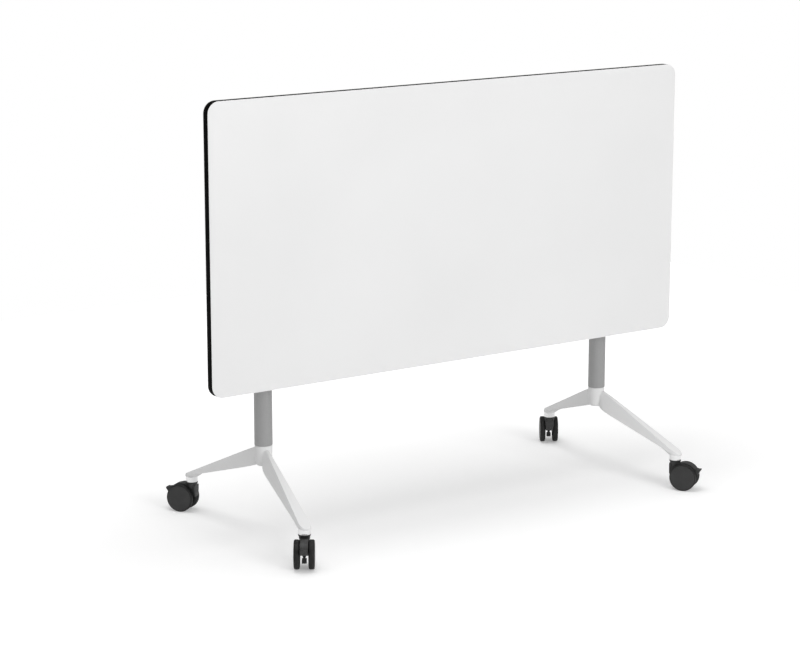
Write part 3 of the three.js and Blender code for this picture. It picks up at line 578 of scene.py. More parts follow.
def tread_finish():
    tree, shader = start_finish("tread")
    shade_between(tree, shader, noise(tree, 70), 0.010, 0.017)
    roughen(tree, shader, noise(tree, 200), 0.5, 0.68)
    emboss(tree, shader, noise(tree, 1100, 2), 0.0002, 0.25)
    shader.inputs["Specular IOR Level"].default_value = 0.3


def rubber_finish():
    tree, shader = start_finish("rubber")
    shade_between(tree, shader, noise(tree, 80), 0.014, 0.022)
    roughen(tree, shader, noise(tree, 200), 0.7, 0.85)
    emboss(tree, shader, noise(tree, 1300, 2), 0.0002, 0.3)


black_nylon_finish()
tread_finish()
rubber_finish()

# The pieces that stay as the frame has them take the finish that the record names for them.
for part in frame["record"]["subparts"]:
    node = frame["nodes"][part["node"]]
    node.data.materials.clear()
    node.data.materials.append(FINISHES[part["material_slot"]])
print("finishes:", sorted(FINISHES))

# %% [markdown]
# ## The top
# The board is a core between two white laminate sheets. The sheets reach the outline, and the core is set back all
# round to leave a rebate for the edge band. Half of the board is modelled, from the work face to the middle of the
# core: a plane gets round corners from a vertex bevel, is pulled out by one sheet, and is inset and pulled on. A
# mirror makes the other half.

# %% Top board
CORNER_RADIUS = 25 * MM
SHEET_THICKNESS = 0.4 * MM
REBATE = 2.3 * MM


def rounded_face(size, y):
    """A face across Y with rounded corners, left in edit mode."""
    bpy.ops.object.select_all(action="DESELECT")
    bpy.ops.mesh.primitive_plane_add(size=1, location=(0, y, 0), rotation=(math.pi / 2, 0, 0))
    face = bpy.context.object
    face.scale = (size.x, size.z, 1)
    bpy.ops.object.transform_apply(location=True, rotation=True, scale=True)
    start_editing(face)
    bpy.ops.mesh.bevel(offset=CORNER_RADIUS, segments=16, affect="VERTICES")
    bpy.ops.mesh.select_all(action="SELECT")
    return face


def pull(distance):
    """Pulls the selected face out along Y."""
    bpy.ops.mesh.extrude_region_move(TRANSFORM_OT_translate={"value": (0, distance, 0)})


def top_board():
    low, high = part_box("top_panel")
    size = high - low
    board = rounded_face(size, -size.y / 2)
    pull(SHEET_THICKNESS)
    bpy.ops.mesh.inset(thickness=REBATE)
    pull(size.y / 2 - SHEET_THICKNESS)
    bpy.ops.mesh.delete(type="ONLY_FACE")
    stop_editing()
    modify(board, "MIRROR", use_axis=(False, True, False), merge_threshold=0.01 * MM)
    soften(board, 0.25 * MM, 2, 60)
    board.location = (low + high) / 2
    return finish_piece(board, "top_board", "top", "laminate", ["top_panel"])


board = top_board()
print("top board:", [round(v, 4) for v in board.dimensions])

# %% [markdown]
# ## The edge band
# A black plastic strip fills the rebate between the two sheets. The same rounded face is pulled out to the width of
# the strip, its two flat sides are removed so that only the wall is left, and the wall gets its two millimetres and
# soft outer edges.

# %% Edge band
BAND_THICKNESS = 2 * MM
BAND_ROUNDING = 0.9 * MM


def edge_strip():
    low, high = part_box("edge_band")
    size = high - low
    size.y = board.dimensions.y - 2 * SHEET_THICKNESS
    strip = rounded_face(size, -size.y / 2)
    pull(size.y)
    pick("FACE", lambda face: abs(face.normal.y) > 0.9)
    bpy.ops.mesh.delete(type="FACE")
    stop_editing()
    modify(strip, "SOLIDIFY", thickness=BAND_THICKNESS, offset=-1, use_even_offset=True)
    soften(strip, BAND_ROUNDING, 4, 60)
    strip.location = (low + high) / 2
    return finish_piece(strip, "edge_strip", "top", "black_edge", ["edge_band"])


strip = edge_strip()
print("edge strip:", [round(v, 4) for v in strip.dimensions])

# %% [markdown]
# ## Columns and beam
# The columns and the cross beam are round steel tubes. Each is turned from its cross section: up the outside, across
# the end and back down the bore, with the cut ends rounded a little, as a deburred tube is.

# %% Columns and beam
TUBE_WALL = 2 * MM
RIM = 0.4 * MM
SIDES = ("left", "right")


def tube(axis, centre, radius, low, high):
    bore = radius - TUBE_WALL
    lower_rim = arc((radius - RIM, low + RIM), RIM, 270, 360, 4)
    upper_rim = arc((radius - RIM, high - RIM), RIM, 0, 90, 4)
    return turn_piece([(bore, low), *lower_rim, *upper_rim, (bore, high), (bore, low)], axis, centre, 72)


def column(side):
    low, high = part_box(f"column_{side}")
    centre = ((low.x + high.x) / 2, (low.y + high.y) / 2)
    piece = tube("Z", centre, (high.y - low.y) / 2, low.z, high.z)
    return finish_piece(piece, f"column_tube_{side}", "frame", "powder_coat", [f"column_{side}"])


def beam():
    low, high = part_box("pivot_beam")
    centre = ((low.y + high.y) / 2, (low.z + high.z) / 2)
    piece = tube("X", centre, (high.z - low.z) / 2, low.x, high.x)
    return finish_piece(piece, "beam_tube", "frame", "powder_coat", ["pivot_beam"])


tubes = [column(side) for side in SIDES] + [beam()]
print("tubes:", [[round(v, 3) for v in piece.dimensions] for piece in tubes])

# %% [markdown]
# ## The cast bases
# Each base is one aluminium casting: a hub under the column and two arms that slope down to the castors. An arm is a
# tall wedge at the hub and a flat tongue at the foot, and it runs into the hub in one smooth surface. A subdivision
# surface suits that. A coarse hub of fourteen sides is pulled up ring by ring, six faces are opened for each arm, the
# opening is drawn to a peak, and the arm's cross sections are drawn and bridged to it. Creases keep the long edges
# crisp.

# %% Hub of a base
HUB_SIDES = 14
HUB_LEVELS = ((149, 14), (153, 16.4), (172, 18.1), (187.5, 18.6), (191.8, 18.7), (193, 17.8))
BOLT_RECESS_RADIUS = 10.4
BOLT_RECESS_DEPTH = 7.6

# A subdivided ring lies a little inside its corners, so the corners are drawn that much larger.
ROUND_GAIN = 3 / (2 + math.cos(2 * math.pi / HUB_SIDES))


def start_hub():
    """The hub as a coarse tower on the Z axis, left in edit mode."""
    height, radius = HUB_LEVELS[0]
    bpy.ops.object.select_all(action="DESELECT")
    bpy.ops.mesh.primitive_circle_add(
        vertices=HUB_SIDES, radius=radius * ROUND_GAIN * MM, fill_type="NGON",
        location=(0, 0, height * MM), rotation=(0, 0, -math.pi / 2))
    hub = bpy.context.object
    bpy.ops.object.transform_apply(location=True, rotation=True, scale=True)
    start_editing(hub)
    for (height, radius), (next_height, next_radius) in zip(HUB_LEVELS, HUB_LEVELS[1:]):
        bpy.ops.mesh.extrude_region_move(TRANSFORM_OT_translate={"value": (0, 0, (next_height - height) * MM)})
        growth = next_radius / radius
        bpy.ops.transform.resize(value=(growth, growth, 1))
    bpy.ops.mesh.inset(thickness=4 * MM)
    pick("FACE", lambda face: face.normal.z < -0.9)
    bpy.ops.mesh.inset(thickness=(HUB_LEVELS[0][1] - BOLT_RECESS_RADIUS) * ROUND_GAIN * MM)
    bpy.ops.mesh.extrude_region_move(TRANSFORM_OT_translate={"value": (0, 0, BOLT_RECESS_DEPTH * MM)})
    return hub


print("hub levels:", len(HUB_LEVELS), "sides:", HUB_SIDES)

# %% [markdown]
# ### Arms
# An arm's cross section is a wedge: a narrow ridge on top, sides that lean outwards to a shoulder near the bottom, and
# a keel below. The ridge broadens from the hub to the foot, while the shoulder hardly does.
# Its top and bottom lines are straight from the hub to the foot, where its last sections close inside the boss.

# %% Arms of a base
ARM_PLACES = (23, 60, 120, 180)
ARM_END = (-32, -22, -15, 0, 8, 12.5, 14.6)
NOSE = 15.2
FILLET = {"run": 32, "rise": 20, "drop": 9}
PEAK_DROP = 7
ARM_TOP = (196.3, -0.465)
ARM_BOTTOM = (151.5, -0.305)
SHOULDER_SHARE = 0.95
CREASES = {"root": 0.75, "ridge": 0.65, "shoulder": 0.8, "keel": 0.5}


def along(line, distance):
    """The height of a straight line at a distance from the column."""
    return line[0] + line[1] * distance


def arm_section(distance, reach):
    """Corners of a cross section as (offset, height), from the middle of the ridge round to its other side."""
    way = min(distance / reach, 1)
    top = along(ARM_TOP, distance)
    bottom = along(ARM_BOTTOM, distance)
    shoulder = top - SHOULDER_SHARE * (top - bottom)
    ridge_half, shoulder_half, keel_half = 2.4 + 9.8 * way, 14.6 - 0.5 * way, 12.6 + 0.2 * way
    past = max(0, distance - reach + FILLET["run"]) / FILLET["rise"]
    drop = FILLET["drop"] * min(past, 1) ** 2 if distance <= reach else 0
    narrowing = math.sqrt(1 - (max(0, distance - reach) / NOSE) ** 2)
    left = [
        (narrowing * ridge_half, top),
        (narrowing * (ridge_half + shoulder_half) / 2, (top + shoulder) / 2),
        (narrowing * shoulder_half, shoulder),
        (narrowing * (keel_half - drop / 15), bottom - drop),
    ]
    right = [(-offset, height) for offset, height in reversed(left)]
    return [(0, top), *left, (0, bottom - drop), *right]


def crease_lines(ahead):
    """Creases the long edges of an arm, which are told apart by how far down its section they lie."""
    def share_down(edge):
        start, end = (vertex.co / MM for vertex in edge.verts)
        middle = (start + end) / 2
        distance = middle.dot(ahead)
        run = abs((end - start).dot(ahead))
        aside = abs(middle.cross(ahead).z)
        if distance < 24 or run < 4 or aside < 2:
            return None
        top = along(ARM_TOP, distance)
        return (top - middle.z) / (top - along(ARM_BOTTOM, distance))

    limits = {"ridge": (-0.2, 0.1), "shoulder": (0.85, 0.975), "keel": (0.975, 1.3)}
    for line, (low, high) in limits.items():
        def on_line(edge):
            share = share_down(edge)
            return share is not None and low < share < high
        pick("EDGE", on_line)
        bpy.ops.transform.edge_crease(value=CREASES[line])


def add_arm(foot):
    """Opens the hub towards a foot, draws the arm's cross sections and bridges them."""
    reach = foot.length
    ahead = foot.normalized()
    aside = Vector((-ahead.y, ahead.x, 0))
    half_step = 1.5 * math.pi / HUB_SIDES

    def at_root(face):
        middle = middle_of(face)
        flat = Vector((middle.x, middle.y, 0))
        low_enough = middle.z < HUB_LEVELS[3][0] * MM
        return abs(face.normal.z) < 0.7 and low_enough and flat.length > 12 * MM and flat.angle(ahead) < half_step

    def beside_peak(vertex):
        flat = Vector((vertex.co.x, vertex.co.y, 0))
        at_top = abs(vertex.co.z - HUB_LEVELS[3][0] * MM) < 0.1 * MM
        return at_top and vertex.is_boundary and half_step / 1.5 < flat.angle(ahead) < 3 * half_step

    opened = pick("FACE", at_root)
    bpy.ops.mesh.delete(type="FACE")
    pick("VERT", beside_peak)
    bpy.ops.transform.translate(value=(0, 0, -PEAK_DROP * MM))
    pick("EDGE", lambda edge: edge.is_boundary)
    bpy.ops.transform.edge_crease(value=CREASES["root"])
    up = Vector((0, 0, 1))
    for distance in (*ARM_PLACES, *(reach + extra for extra in ARM_END)):
        corners = arm_section(distance, reach)
        draw_line([(ahead * distance + aside * offset + up * height) * MM for offset, height in corners], True)
    pick("EDGE", lambda edge: edge.is_boundary or edge.is_wire)
    bpy.ops.mesh.bridge_edge_loops()
    pick("EDGE", lambda edge: edge.is_boundary)
    bpy.ops.mesh.edge_face_add()
    crease_lines(ahead)
    return opened


print("sections of an arm:", len(ARM_PLACES) + len(ARM_END))

# %% [markdown]
# ### Bosses
# A round boss at each foot takes the stem of a castor and closes the end of the arm. It is turned, cut off along the
# slope of the arm's top and joined to the smoothed arm. Its wall is machined, so it is brighter than the casting. The
# right base is the left one turned by half a turn.

# %% Bases with their bosses
BOSS_RADIUS = 12.9
BOSS_FOOT = 66
BOSS_TOP = 110
BOSS_SET_DOWN = 5
BOSS_WALL_TOP = 80


def stem_place(end, side):
    return Vector(JOINTS[f"swivel_{end}_{side}"]["pos_m"])


def column_place(side):
    low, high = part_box(f"column_{side}")
    return Vector(((low.x + high.x) / 2, (low.y + high.y) / 2, 0))


def boss_model(foot):
    """A boss on the stem of a foot, cut off along the top of its arm."""
    chamfer = BOSS_RADIUS - 0.7
    section = [(0, BOSS_FOOT), (chamfer, BOSS_FOOT), (BOSS_RADIUS, BOSS_FOOT + 0.7)]
    section += [(BOSS_RADIUS, BOSS_TOP), (0, BOSS_TOP)]
    boss = turn_piece(mm(section), "Z", (foot.x, foot.y), 72)
    slope = Vector((0, 0, 1)) - ARM_TOP[1] * foot.normalized()
    start_editing(boss)
    cut = (ARM_TOP[0] - BOSS_SET_DOWN) * MM
    bpy.ops.mesh.bisect(plane_co=(0, 0, cut), plane_no=slope, use_fill=True, clear_outer=True)
    stop_editing()
    soften(boss, 1.2 * MM, 4, 30)
    return boss


def polish_bosses(base, feet):
    base.data.materials.append(FINISHES["cast_aluminium"])
    base.data.materials.append(FINISHES["machined"])

    def on_boss(face):
        middle = middle_of(face)
        radius = min(math.hypot(middle.x - foot.x, middle.y - foot.y) for foot in feet)
        in_wall = (BOSS_RADIUS - 1) * MM < radius < (BOSS_RADIUS + 0.05) * MM
        return in_wall and middle.z < BOSS_WALL_TOP * MM and abs(face.normal.z) < 0.3

    start_editing(base)
    faces = pick("FACE", on_boss)
    base.active_material_index = 1
    bpy.ops.object.material_slot_assign()
    stop_editing()
    print("machined faces:", faces)


def base_model():
    """The left base, with its column on the Z axis."""
    centre = column_place("left")
    feet = [stem_place(end, "left") - centre for end in ("front", "rear")]
    base = start_hub()
    for foot in feet:
        foot.z = 0
        add_arm(foot / MM)
    stop_editing()
    modify(base, "SUBSURF", levels=3, render_levels=3)
    for foot in feet:
        combine(base, boss_model(foot), solver="MANIFOLD")
    polish_bosses(base, feet)
    return base


model = base_model()
for side, turn in (("left", 0), ("right", math.pi)):
    base = placed_copy(model, column_place(side), turn)
    finish_piece(base, f"base_{side}", "frame", "cast_aluminium", [f"base_casting_{side}"], 22)
bpy.data.objects.remove(model)
print("base:", [round(v, 4) for v in base.dimensions], "faces:", len(base.data.polygons))

# %% [markdown]
# ## Castor wheels
# A castor has two wheels on one axle. A wheel is turned from its half section: a nearly flat outer disc with a fine
# groove round it, a soft shoulder, the tread, and a hollow inner side round the hub. The rolling faces get a second,
# darker finish, because the tread is a softer plastic than the disc.

# %% Castor wheels
WHEEL_SECTION = [
    (0, 19.3), (3.3, 19.3), (3.3, 8.8), (7.6, 8.8), (8, 9.2), (8, 12.8), (22.6, 12.8), (23, 12.4), (23, 9.2),
    (23.4, 8.8), (26.4, 8.8), (27.9, 9.2), (29.1, 10.2), (29.8, 11.6), (30, 13.2),
    (30, 17.0), (29.8, 18.6), (29.1, 19.9), (27.9, 20.8), (27.3, 20.9), (27.1, 20.6),
    (26.6, 20.6), (26.3, 20.9), (25.4, 21.15), (14, 21.28), (0, 21.3),
]
TREAD_FROM = 27.9
CASTORS = [f"{end}_{side}" for end in ("front", "rear") for side in SIDES]


def wheel_model():
    wheel = turn_piece(mm(WHEEL_SECTION), "Y", steps=72)
    wheel.data.materials.append(FINISHES["black_nylon"])
    wheel.data.materials.append(FINISHES["tread"])
    start_editing(wheel)
    faces = pick("FACE", lambda face: math.hypot(middle_of(face).x, middle_of(face).z) > TREAD_FROM * MM)
    wheel.active_material_index = 1
    bpy.ops.object.material_slot_assign()
    stop_editing()
    print("tread faces on a wheel:", faces)
    return wheel


def trail_angle(castor):
    """The way a castor trails from its stem, as an angle about Z."""
    way = Vector(JOINTS[f"spin_{castor}_1"]["pos_m"]) - Vector(JOINTS[f"swivel_{castor}"]["pos_m"])
    return math.atan2(way.y, way.x)


model = wheel_model()
for castor in CASTORS:
    for number, half_turn in ((1, 0), (2, math.pi)):
        joint = JOINTS[f"spin_{castor}_{number}"]
        wheel = placed_copy(model, joint["pos_m"], trail_angle(castor) + half_turn)
        node = f"castor_{castor}_wheel_{number}"
        finish_piece(wheel, f"castor_{castor}_roller_{number}", joint["child"], "black_nylon", [node])
bpy.data.objects.remove(model)
print("wheel:", [round(v, 4) for v in wheel.dimensions])

# %% [markdown]
# ## Castor bodies
# The body is one plastic moulding: a collar with a flared rim on the stem, an apron in front, and a hood that follows
# the wheels between them. Below the axle hangs a narrow tongue. It is modelled once, with the stem on the Z axis and
# the wheels trailing along X: the side view is drawn and pulled out, the lower part is narrowed to a waist, and the
# collar, the apron and the tongue are joined to it. One bevel rounds all edges, as a mould does.

# %% Castor bodies
AXLE = (22, 30)
KNUCKLE = (36, 44)
BODY_HALF = 8.2
WAIST_HALF = 3.6
WAIST_TOP = 34.5
COLLAR_SECTION = [
    (0, 53), (10.4, 53), (10.4, 55.6), (11.2, 56.4), (11.4, 59.5), (11.9, 61.8), (12.7, 63.6), (13.2, 64.6),
    (13.2, 65.1), (12.9, 65.4), (0, 65.4),
]
APRON_HALF = [(8.5, 34.2), (8.5, 37), (10.2, 54), (10.2, 59)]
TONGUE_HALF = [(4.8, 12.5), (4.8, 20.5), (2.4, 20.5), (2.4, 26)]


def mirrored(half):
    """A closed outline from its right half, bottom to top."""
    return half + [(-first, second) for first, second in reversed(half)]


def curve(start, pull_to, end, steps):
    """Points on a curve that leaves its start and reaches its end in the direction of a third point."""
    points = []
    for i in range(steps + 1):
        t = i / steps
        weights = ((1 - t) ** 2, 2 * t * (1 - t), t ** 2)
        points.append(tuple(sum(w * p[k] for w, p in zip(weights, (start, pull_to, end))) for k in (0, 1)))
    return points


def body_model():
    boss = arc(AXLE, 5.5, 200, 335, 8)
    side = [(-10.2, 57)] + curve((-10.2, 43), (-6.2, 34), boss[0], 6) + boss[1:]
    side += arc(KNUCKLE, 4.8, 205, 95, 8)
    side += arc(AXLE, 28.2, 62, 36, 5) + arc(AXLE, 31.5, 36, 118, 16)
    body = draw_plate(mm(side), -BODY_HALF * MM, BODY_HALF * MM, "Y")
    for hand in (-1, 1):
        inner, outer = sorted((hand * WAIST_HALF * MM, hand * 2 * BODY_HALF * MM))
        block = add_block((-40 * MM, inner, 0), (80 * MM, outer, WAIST_TOP * MM))
        combine(body, block, "DIFFERENCE")
    combine(body, draw_plate(mm(mirrored(APRON_HALF)), -11.2 * MM, -7.4 * MM, "X"))
    combine(body, turn_piece(mm(COLLAR_SECTION), "Z", steps=60))
    combine(body, draw_plate(mm(mirrored(TONGUE_HALF)), 16 * MM, 28 * MM, "X"))
    clear_crumbs(body)
    soften(body, 0.6 * MM, 3, 40)
    return body


def pedal_model():
    side = arc(KNUCKLE, 4.5, 85, 285, 14)
    side += [(43, 37.2), (51.4, 36.4), (54.2, 37.8), (55.2, 41), (59.2, 46.6), (59.4, 48.9), (58.2, 49.7)]
    side += [(54.8, 48.9), (51.6, 50), (49.4, 50), (45.6, 45.9)]
    pedal = draw_plate(mm(side), -7.9 * MM, 7.9 * MM, "Y")
    soften(pedal, 0.7 * MM, 3, 30)
    return pedal


bodies = body_model(), pedal_model()
for castor in CASTORS:
    stem = Vector(JOINTS[f"swivel_{castor}"]["pos_m"])
    hood, pedal = (placed_copy(model, (stem.x, stem.y, 0), trail_angle(castor)) for model in bodies)
    finish_piece(hood, f"castor_{castor}_hood", f"castor_{castor}", "black_nylon", [f"castor_{castor}_body"])
    finish_piece(pedal, f"castor_{castor}_toe_tab", f"pedal_{castor}", "black_nylon", [f"castor_{castor}_pedal"])
for model in bodies:
    bpy.data.objects.remove(model)
print("castor body:", [round(v, 4) for v in hood.dimensions], "faces:", len(hood.data.polygons))

# %% [markdown]
# ## Pivot heads
# A cast head on each column holds the beam. Its barrel is turned about the beam with rounded rims, a neck rises into
# it from the column, and two notches take the nose of the lock: one with the top level, one with the top upright. A
# socket screw at the back clamps the beam.

# %% Pivot heads
PIVOT = Vector(JOINTS["flip"]["pos_m"])
BARREL = (27, 24)
BEAM_BORE = 15.3
NECK_RADIUS = 19
NECK_FOOT = -35
NECK_TOP = -17.5
NOTCH_HALF = 4.8
NOTCH = ((-13.3, 18.3), (-3.2, 30))


def pivot_centre(side):
    return Vector((column_place(side).x, PIVOT.y, PIVOT.z))


def head_model():
    """A head about the origin, with the beam along X."""
    radius, half = BARREL
    near_rim = arc((radius - 2, 2 - half), 2, 270, 360, 5)
    far_rim = arc((radius - 2, half - 2), 2, 0, 90, 5)
    section = [(BEAM_BORE, -half), *near_rim, *far_rim, (BEAM_BORE, half), (BEAM_BORE, -half)]
    head = turn_piece(mm(section), "X", steps=96)
    neck = [(0, NECK_FOOT), (NECK_RADIUS - 0.8, NECK_FOOT), (NECK_RADIUS, NECK_FOOT + 0.8), (NECK_RADIUS, NECK_TOP)]
    combine(head, turn_piece(mm(neck + [(0, NECK_TOP)]), "Z", steps=72))
    (near, floor), (far, open_end) = mm(NOTCH)
    half = NOTCH_HALF * MM
    combine(head, add_block((-half, near, floor), (half, far, open_end)), "DIFFERENCE")
    combine(head, add_block((-half, -open_end, near), (half, -floor, far)), "DIFFERENCE")
    soften(head, 0.5 * MM, 2, 50)
    return head


def socket_screw(radius, height, socket):
    """A button head screw that points along Y, with a hexagon socket."""
    dome = arc((0, 0), radius, 0, 90, 8)
    section = [(0, 0)] + [(across, up * height / radius) for across, up in dome]
    screw = turn_piece(mm(section), "Y", steps=40)
    combine(screw, turn_piece(mm([(0, height / 3), (socket, height / 3), (socket, 2 * height), (0, 2 * height)]),
                              "Y", steps=6), "DIFFERENCE")
    return screw


heads = head_model()
clamp_screw = socket_screw(6, 3.4, 2.4)
for side in SIDES:
    head = placed_copy(heads, pivot_centre(side))
    finish_piece(head, f"head_{side}", "frame", "cast_aluminium", [f"pivot_head_{side}"])
    screw = placed_copy(clamp_screw, pivot_centre(side) + Vector((0, (BARREL[0] - 0.4) * MM, 0)))
    finish_piece(screw, f"clamp_screw_{side}", "frame", "steel")
bpy.data.objects.remove(heads)
bpy.data.objects.remove(clamp_screw)
print("head:", [round(v, 4) for v in head.dimensions])

# %% [markdown]
# ## Bushes and caps
# Nylon bushes line the brackets where they turn on the beam, with a flange against the head. A cap with a slightly
# domed face closes each end of the beam. All are turned pieces along the beam.

# %% Bushes and caps
BUSH_SECTION = [
    (15.3, 24.3), (21.6, 24.3), (22, 24.7), (22, 25.4), (21.6, 25.8), (17, 25.8), (17, 29.7), (16.6, 30.1),
    (15.3, 30.1), (15.3, 24.3),
]
CAP_SECTION = [
    (0, -10.5), (12.2, -10.5), (12.7, -10), (12.7, 0), (18.6, 0), (19, 0.4), (19, 1.8), (18.4, 2.7), (17.2, 3.1),
    (9, 3.4), (0, 3.5),
]

bush = turn_piece(mm(BUSH_SECTION), "X")
for side in SIDES:
    for number, turn in ((1, math.pi), (2, 0)):
        copy = placed_copy(bush, pivot_centre(side), turn)
        node = f"pivot_bush_{side}_{number}"
        finish_piece(copy, f"bush_{side}_{number}", "top", "black_nylon", [node])
bpy.data.objects.remove(bush)

cap = turn_piece(mm(CAP_SECTION), "X")
for side, turn in (("left", math.pi), ("right", 0)):
    low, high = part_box(f"beam_cap_{side}")
    face = high.x - 3.5 * MM if side == "right" else low.x + 3.5 * MM
    copy = placed_copy(cap, (face, PIVOT.y, PIVOT.z), turn)
    finish_piece(copy, f"end_cap_{side}", "frame", "black_nylon", [f"beam_cap_{side}"])
bpy.data.objects.remove(cap)
print("end cap:", [round(v, 4) for v in copy.dimensions])

# %% [markdown]
# ## Brackets
# A steel bracket is screwed to the underside of the top at each column. It has a plate with round corners and two
# ears that carry the bushes and the lock bar. The ears are drawn as they are with the top level, as distances ahead
# of the beam and above it, and turned upright with the top: what was up now points to the front.

# %% Brackets
PLATE_FACE = (-46.7, -43.7)
PLATE_HALF = 55
PLATE_ENDS = (-100, 48)
PLATE_CORNER = 12
SCREW_INSET = 12
SCREW_HOLE = 2.75
EAR_FACES = (26.1, 30.1)
EAR_RADIUS = 24
BUSH_HOLE = 17.3
LOCK_BAR = (-52, 34)
LOCK_EAR_RADIUS = 12
LOCK_HOLE = 5.3
EAR_TANGENT = 225.7


def upright(pairs):
    """Turns (ahead, above) pairs about the beam, from a level top to an upright one: now (Y, Z)."""
    return [(-above, ahead) for ahead, above in pairs]


def screw_places():
    across = PLATE_HALF - SCREW_INSET
    heights = (PLATE_ENDS[0] + SCREW_INSET, PLATE_ENDS[1] - SCREW_INSET)
    return [(side * across, height) for side in (-1, 1) for height in heights]


def bracket_model():
    """A bracket about the pivot of its head."""
    low, high = PLATE_ENDS
    x, r = PLATE_HALF - PLATE_CORNER, PLATE_CORNER
    outline = arc((x, high - r), r, 0, 90, 8) + arc((-x, high - r), r, 90, 180, 8)
    outline += arc((-x, low + r), r, 180, 270, 8) + arc((x, low + r), r, 270, 360, 8)
    back, front = (place * MM for place in PLATE_FACE)
    bracket = draw_plate(mm(outline), back, front, "Y")
    for centre in mm(screw_places()):
        combine(bracket, add_bar("Y", SCREW_HOLE * MM, 2 * back, 0, centre, 24), "DIFFERENCE")
    ear = [(LOCK_BAR[0] - LOCK_EAR_RADIUS, 45.2)] + arc(LOCK_BAR, LOCK_EAR_RADIUS, 180, EAR_TANGENT, 8)
    ear += arc((0, 0), EAR_RADIUS, EAR_TANGENT, 360, 20) + [(EAR_RADIUS, 45.2)]
    for near, far in (EAR_FACES, (-EAR_FACES[1], -EAR_FACES[0])):
        combine(bracket, draw_plate(mm(upright(ear)), near * MM, far * MM, "X"))
    width = PLATE_HALF * MM
    combine(bracket, add_bar("X", BUSH_HOLE * MM, -width, width, (0, 0), 64), "DIFFERENCE")
    lock_centre = mm(upright([LOCK_BAR]))[0]
    combine(bracket, add_bar("X", LOCK_HOLE * MM, -width, width, lock_centre, 32), "DIFFERENCE")
    soften(bracket, 0.5 * MM, 2, 40)
    return bracket


model = bracket_model()
for side in SIDES:
    bracket = placed_copy(model, pivot_centre(side))
    finish_piece(bracket, f"bracket_{side}", "top", "steel", [f"tilt_bracket_{side}"])
bpy.data.objects.remove(model)
print("bracket:", [round(v, 4) for v in bracket.dimensions], "faces:", len(bracket.data.polygons))

# %% [markdown]
# ### Screws
# Each bracket is held by four pan head screws with a cross recess. One is turned and cut, and copied to its holes.

# %% Bracket screws
def pan_screw():
    """A pan head that points along Y, with a cross recess."""
    section = [(0, 0), (4.7, 0), (5, 0.4), (5, 1.4), (4.5, 2.3), (3.2, 2.9), (0, 3.1)]
    screw = turn_piece(mm(section), "Y", steps=36)
    for long_side, short_side in ((2.6, 0.55), (0.55, 2.6)):
        low = Vector((-long_side, 1.4, -short_side)) * MM
        high = Vector((long_side, 4, short_side)) * MM
        combine(screw, add_block(low, high), "DIFFERENCE")
    soften(screw, 0.15 * MM, 2, 50)
    return screw


model = pan_screw()
for side in SIDES:
    for number, (across, height) in enumerate(screw_places(), 1):
        seat = Vector((across, PLATE_FACE[1], height)) * MM
        screw = placed_copy(model, pivot_centre(side) + seat)
        finish_piece(screw, f"bracket_screw_{side}_{number}", "top", "steel")
bpy.data.objects.remove(model)
print("screw:", [round(v, 4) for v in screw.dimensions])

# %% [markdown]
# ## The lock
# A steel bar runs through both brackets under the top. A hook on it at each column drops its nose into a notch of the
# head, and a hand paddle in the middle turns the bar. A ring near each end keeps the bar in place. The hook is drawn
# level and turned upright, as the brackets are.

# %% Lock bar and hooks
LOCK_TURN_PLACE = Vector(JOINTS["lock_turn"]["pos_m"])
BAR_RADIUS = 5
RING_RADIUS = 7.6
HOOK_HALF = 4


def lock_bar():
    low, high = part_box("lock_bar")
    end = high.x / MM
    half = [(RING_RADIUS, end - 4), (RING_RADIUS, end - 2.8), (BAR_RADIUS, end - 2.8), (BAR_RADIUS, end - 0.8)]
    half += [(BAR_RADIUS - 0.8, end), (0, end)]
    section = [(radius, -place) for radius, place in reversed(half)]
    section += [(BAR_RADIUS, 4 - end), (BAR_RADIUS, end - 4)] + half
    bar = turn_piece(mm(section), "X", (LOCK_TURN_PLACE.y, LOCK_TURN_PLACE.z), 40)
    return finish_piece(bar, "lock_rod", "lock", "steel", ["lock_bar"])


def hook_model():
    """A hook about the pivot of its head."""
    outline = arc(LOCK_BAR, 8.5, 90, 288, 18)
    outline += [(-17, 33), (-12.5, 32.4), (-10.5, 30.5), (-10.5, 26.2), (-4, 27.9), (-4, 38.8), (-6, 40.8), (-10.5, 42)]
    hook = draw_plate(mm(upright(outline)), -HOOK_HALF * MM, HOOK_HALF * MM, "X")
    centre = mm(upright([LOCK_BAR]))[0]
    combine(hook, add_bar("X", LOCK_HOLE * MM, -2 * HOOK_HALF * MM, 2 * HOOK_HALF * MM, centre, 32), "DIFFERENCE")
    soften(hook, 0.5 * MM, 2, 40)
    return hook


rod = lock_bar()
model = hook_model()
for side in SIDES:
    hook = placed_copy(model, pivot_centre(side))
    finish_piece(hook, f"hook_{side}", "lock", "steel", [f"lock_hook_{side}"])
bpy.data.objects.remove(model)
print("rod:", [round(v, 4) for v in rod.dimensions], "hook:", [round(v, 4) for v in hook.dimensions])

# %% [markdown]
# ### Paddle
# The paddle is moulded nylon: a sleeve on the bar and a thin curved blade with round corners, which falls away from
# the underside to make room for fingers. Three low ribs on the blade give grip.

# %% Paddle
PADDLE_HALF = 60
PADDLE_CORNER = 14
SLEEVE_RADIUS = 9
TIP = (-114, 22)


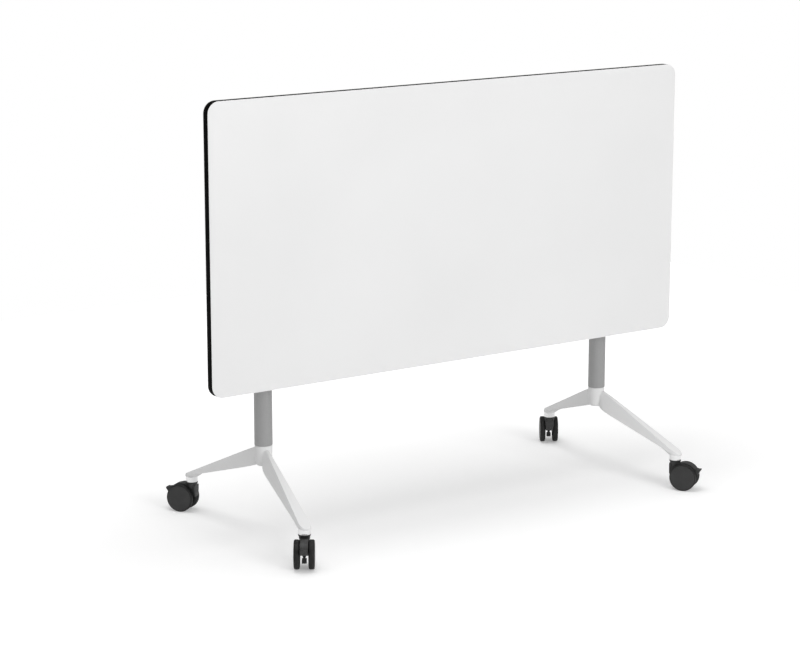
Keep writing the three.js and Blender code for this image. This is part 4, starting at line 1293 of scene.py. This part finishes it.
def paddle():
    bar_ahead, bar_above = LOCK_BAR
    blade = curve((TIP[0], TIP[1] + 3), (-83, 34), (bar_ahead, bar_above + 4.5), 12)[::-1]
    blade += arc(TIP, 3, 90, 270, 8)[1:]
    blade += curve((TIP[0], TIP[1] - 3), (-83, 25), (bar_ahead, bar_above - 7), 12)[1:]
    wide = PADDLE_HALF * MM
    piece = draw_plate(mm(upright(blade)), -wide, wide, "X")
    x, tip, r = PADDLE_HALF - PADDLE_CORNER, TIP[0] - 3 + PADDLE_CORNER, PADDLE_CORNER
    plan = arc((-x, tip), r, 180, 270, 8) + arc((x, tip), r, 270, 360, 8)
    plan += [(PADDLE_HALF, 0), (-PADDLE_HALF, 0)]
    combine(piece, draw_plate(mm(plan), -80 * MM, 0, "Y"), "INTERSECT")
    combine(piece, add_bar("X", SLEEVE_RADIUS * MM, -wide, wide, mm(upright([LOCK_BAR]))[0], 40))
    for ahead, above in ((-108, 19.6), (-101, 21.0), (-94, 22.2)):
        combine(piece, add_bar("X", 1.2 * MM, -42 * MM, 42 * MM, mm(upright([(ahead, above)]))[0], 12))
    combine(piece, add_bar("X", LOCK_HOLE * MM, -2 * wide, 2 * wide, mm(upright([LOCK_BAR]))[0], 32), "DIFFERENCE")
    clear_crumbs(piece)
    soften(piece, 0.6 * MM, 2, 40)
    piece.location = (0, PIVOT.y, PIVOT.z)
    return finish_piece(piece, "paddle", "lock", "black_nylon", ["lock_paddle"])


handle = paddle()
print("paddle:", [round(v, 4) for v in handle.dimensions], "faces:", len(handle.data.polygons))

# %% [markdown]
# ## Rubber pads
# Two rubber buffers at each column stop the top at the ends of its swing. One stands on the column below the head,
# the other on the barrel. Each is a turned stud with a rounded end, cut to the round face that it sits on.

# %% Rubber pads
PAD_RADIUS = 7
PAD_END = 43.4
STOW_PAD_DROP = 82
USE_PAD_BACK = 14
SEAT_GAP = 0.3


def stud(axis, sign, centre):
    """A stud along an axis from the origin outwards, with a rounded end."""
    rim = arc((PAD_RADIUS - 1.6, PAD_END - 1.6), 1.6, 0, 90, 6)
    section = [(0, 0), (PAD_RADIUS, 0), *rim, (0, PAD_END)]
    return turn_piece([(radius, sign * place) for radius, place in mm(section)], axis, centre, 40)


for side in SIDES:
    pivot = pivot_centre(side)
    seat = (NECK_RADIUS + SEAT_GAP) * MM
    pad = stud("Y", -1, (0, -STOW_PAD_DROP * MM))
    combine(pad, add_bar("Z", seat, -0.2, 0, (0, 0), 72), "DIFFERENCE")
    pad.location = pivot
    finish_piece(pad, f"buffer_stow_{side}", "frame", "rubber", [f"stow_pad_{side}"])
    pad = stud("Z", 1, (0, USE_PAD_BACK * MM))
    combine(pad, add_bar("X", (BARREL[0] + SEAT_GAP) * MM, -0.1, 0.1, (0, 0), 96), "DIFFERENCE")
    pad.location = pivot
    finish_piece(pad, f"buffer_use_{side}", "frame", "rubber", [f"use_pad_{side}"])
print("pad:", [round(v, 4) for v in pad.dimensions])
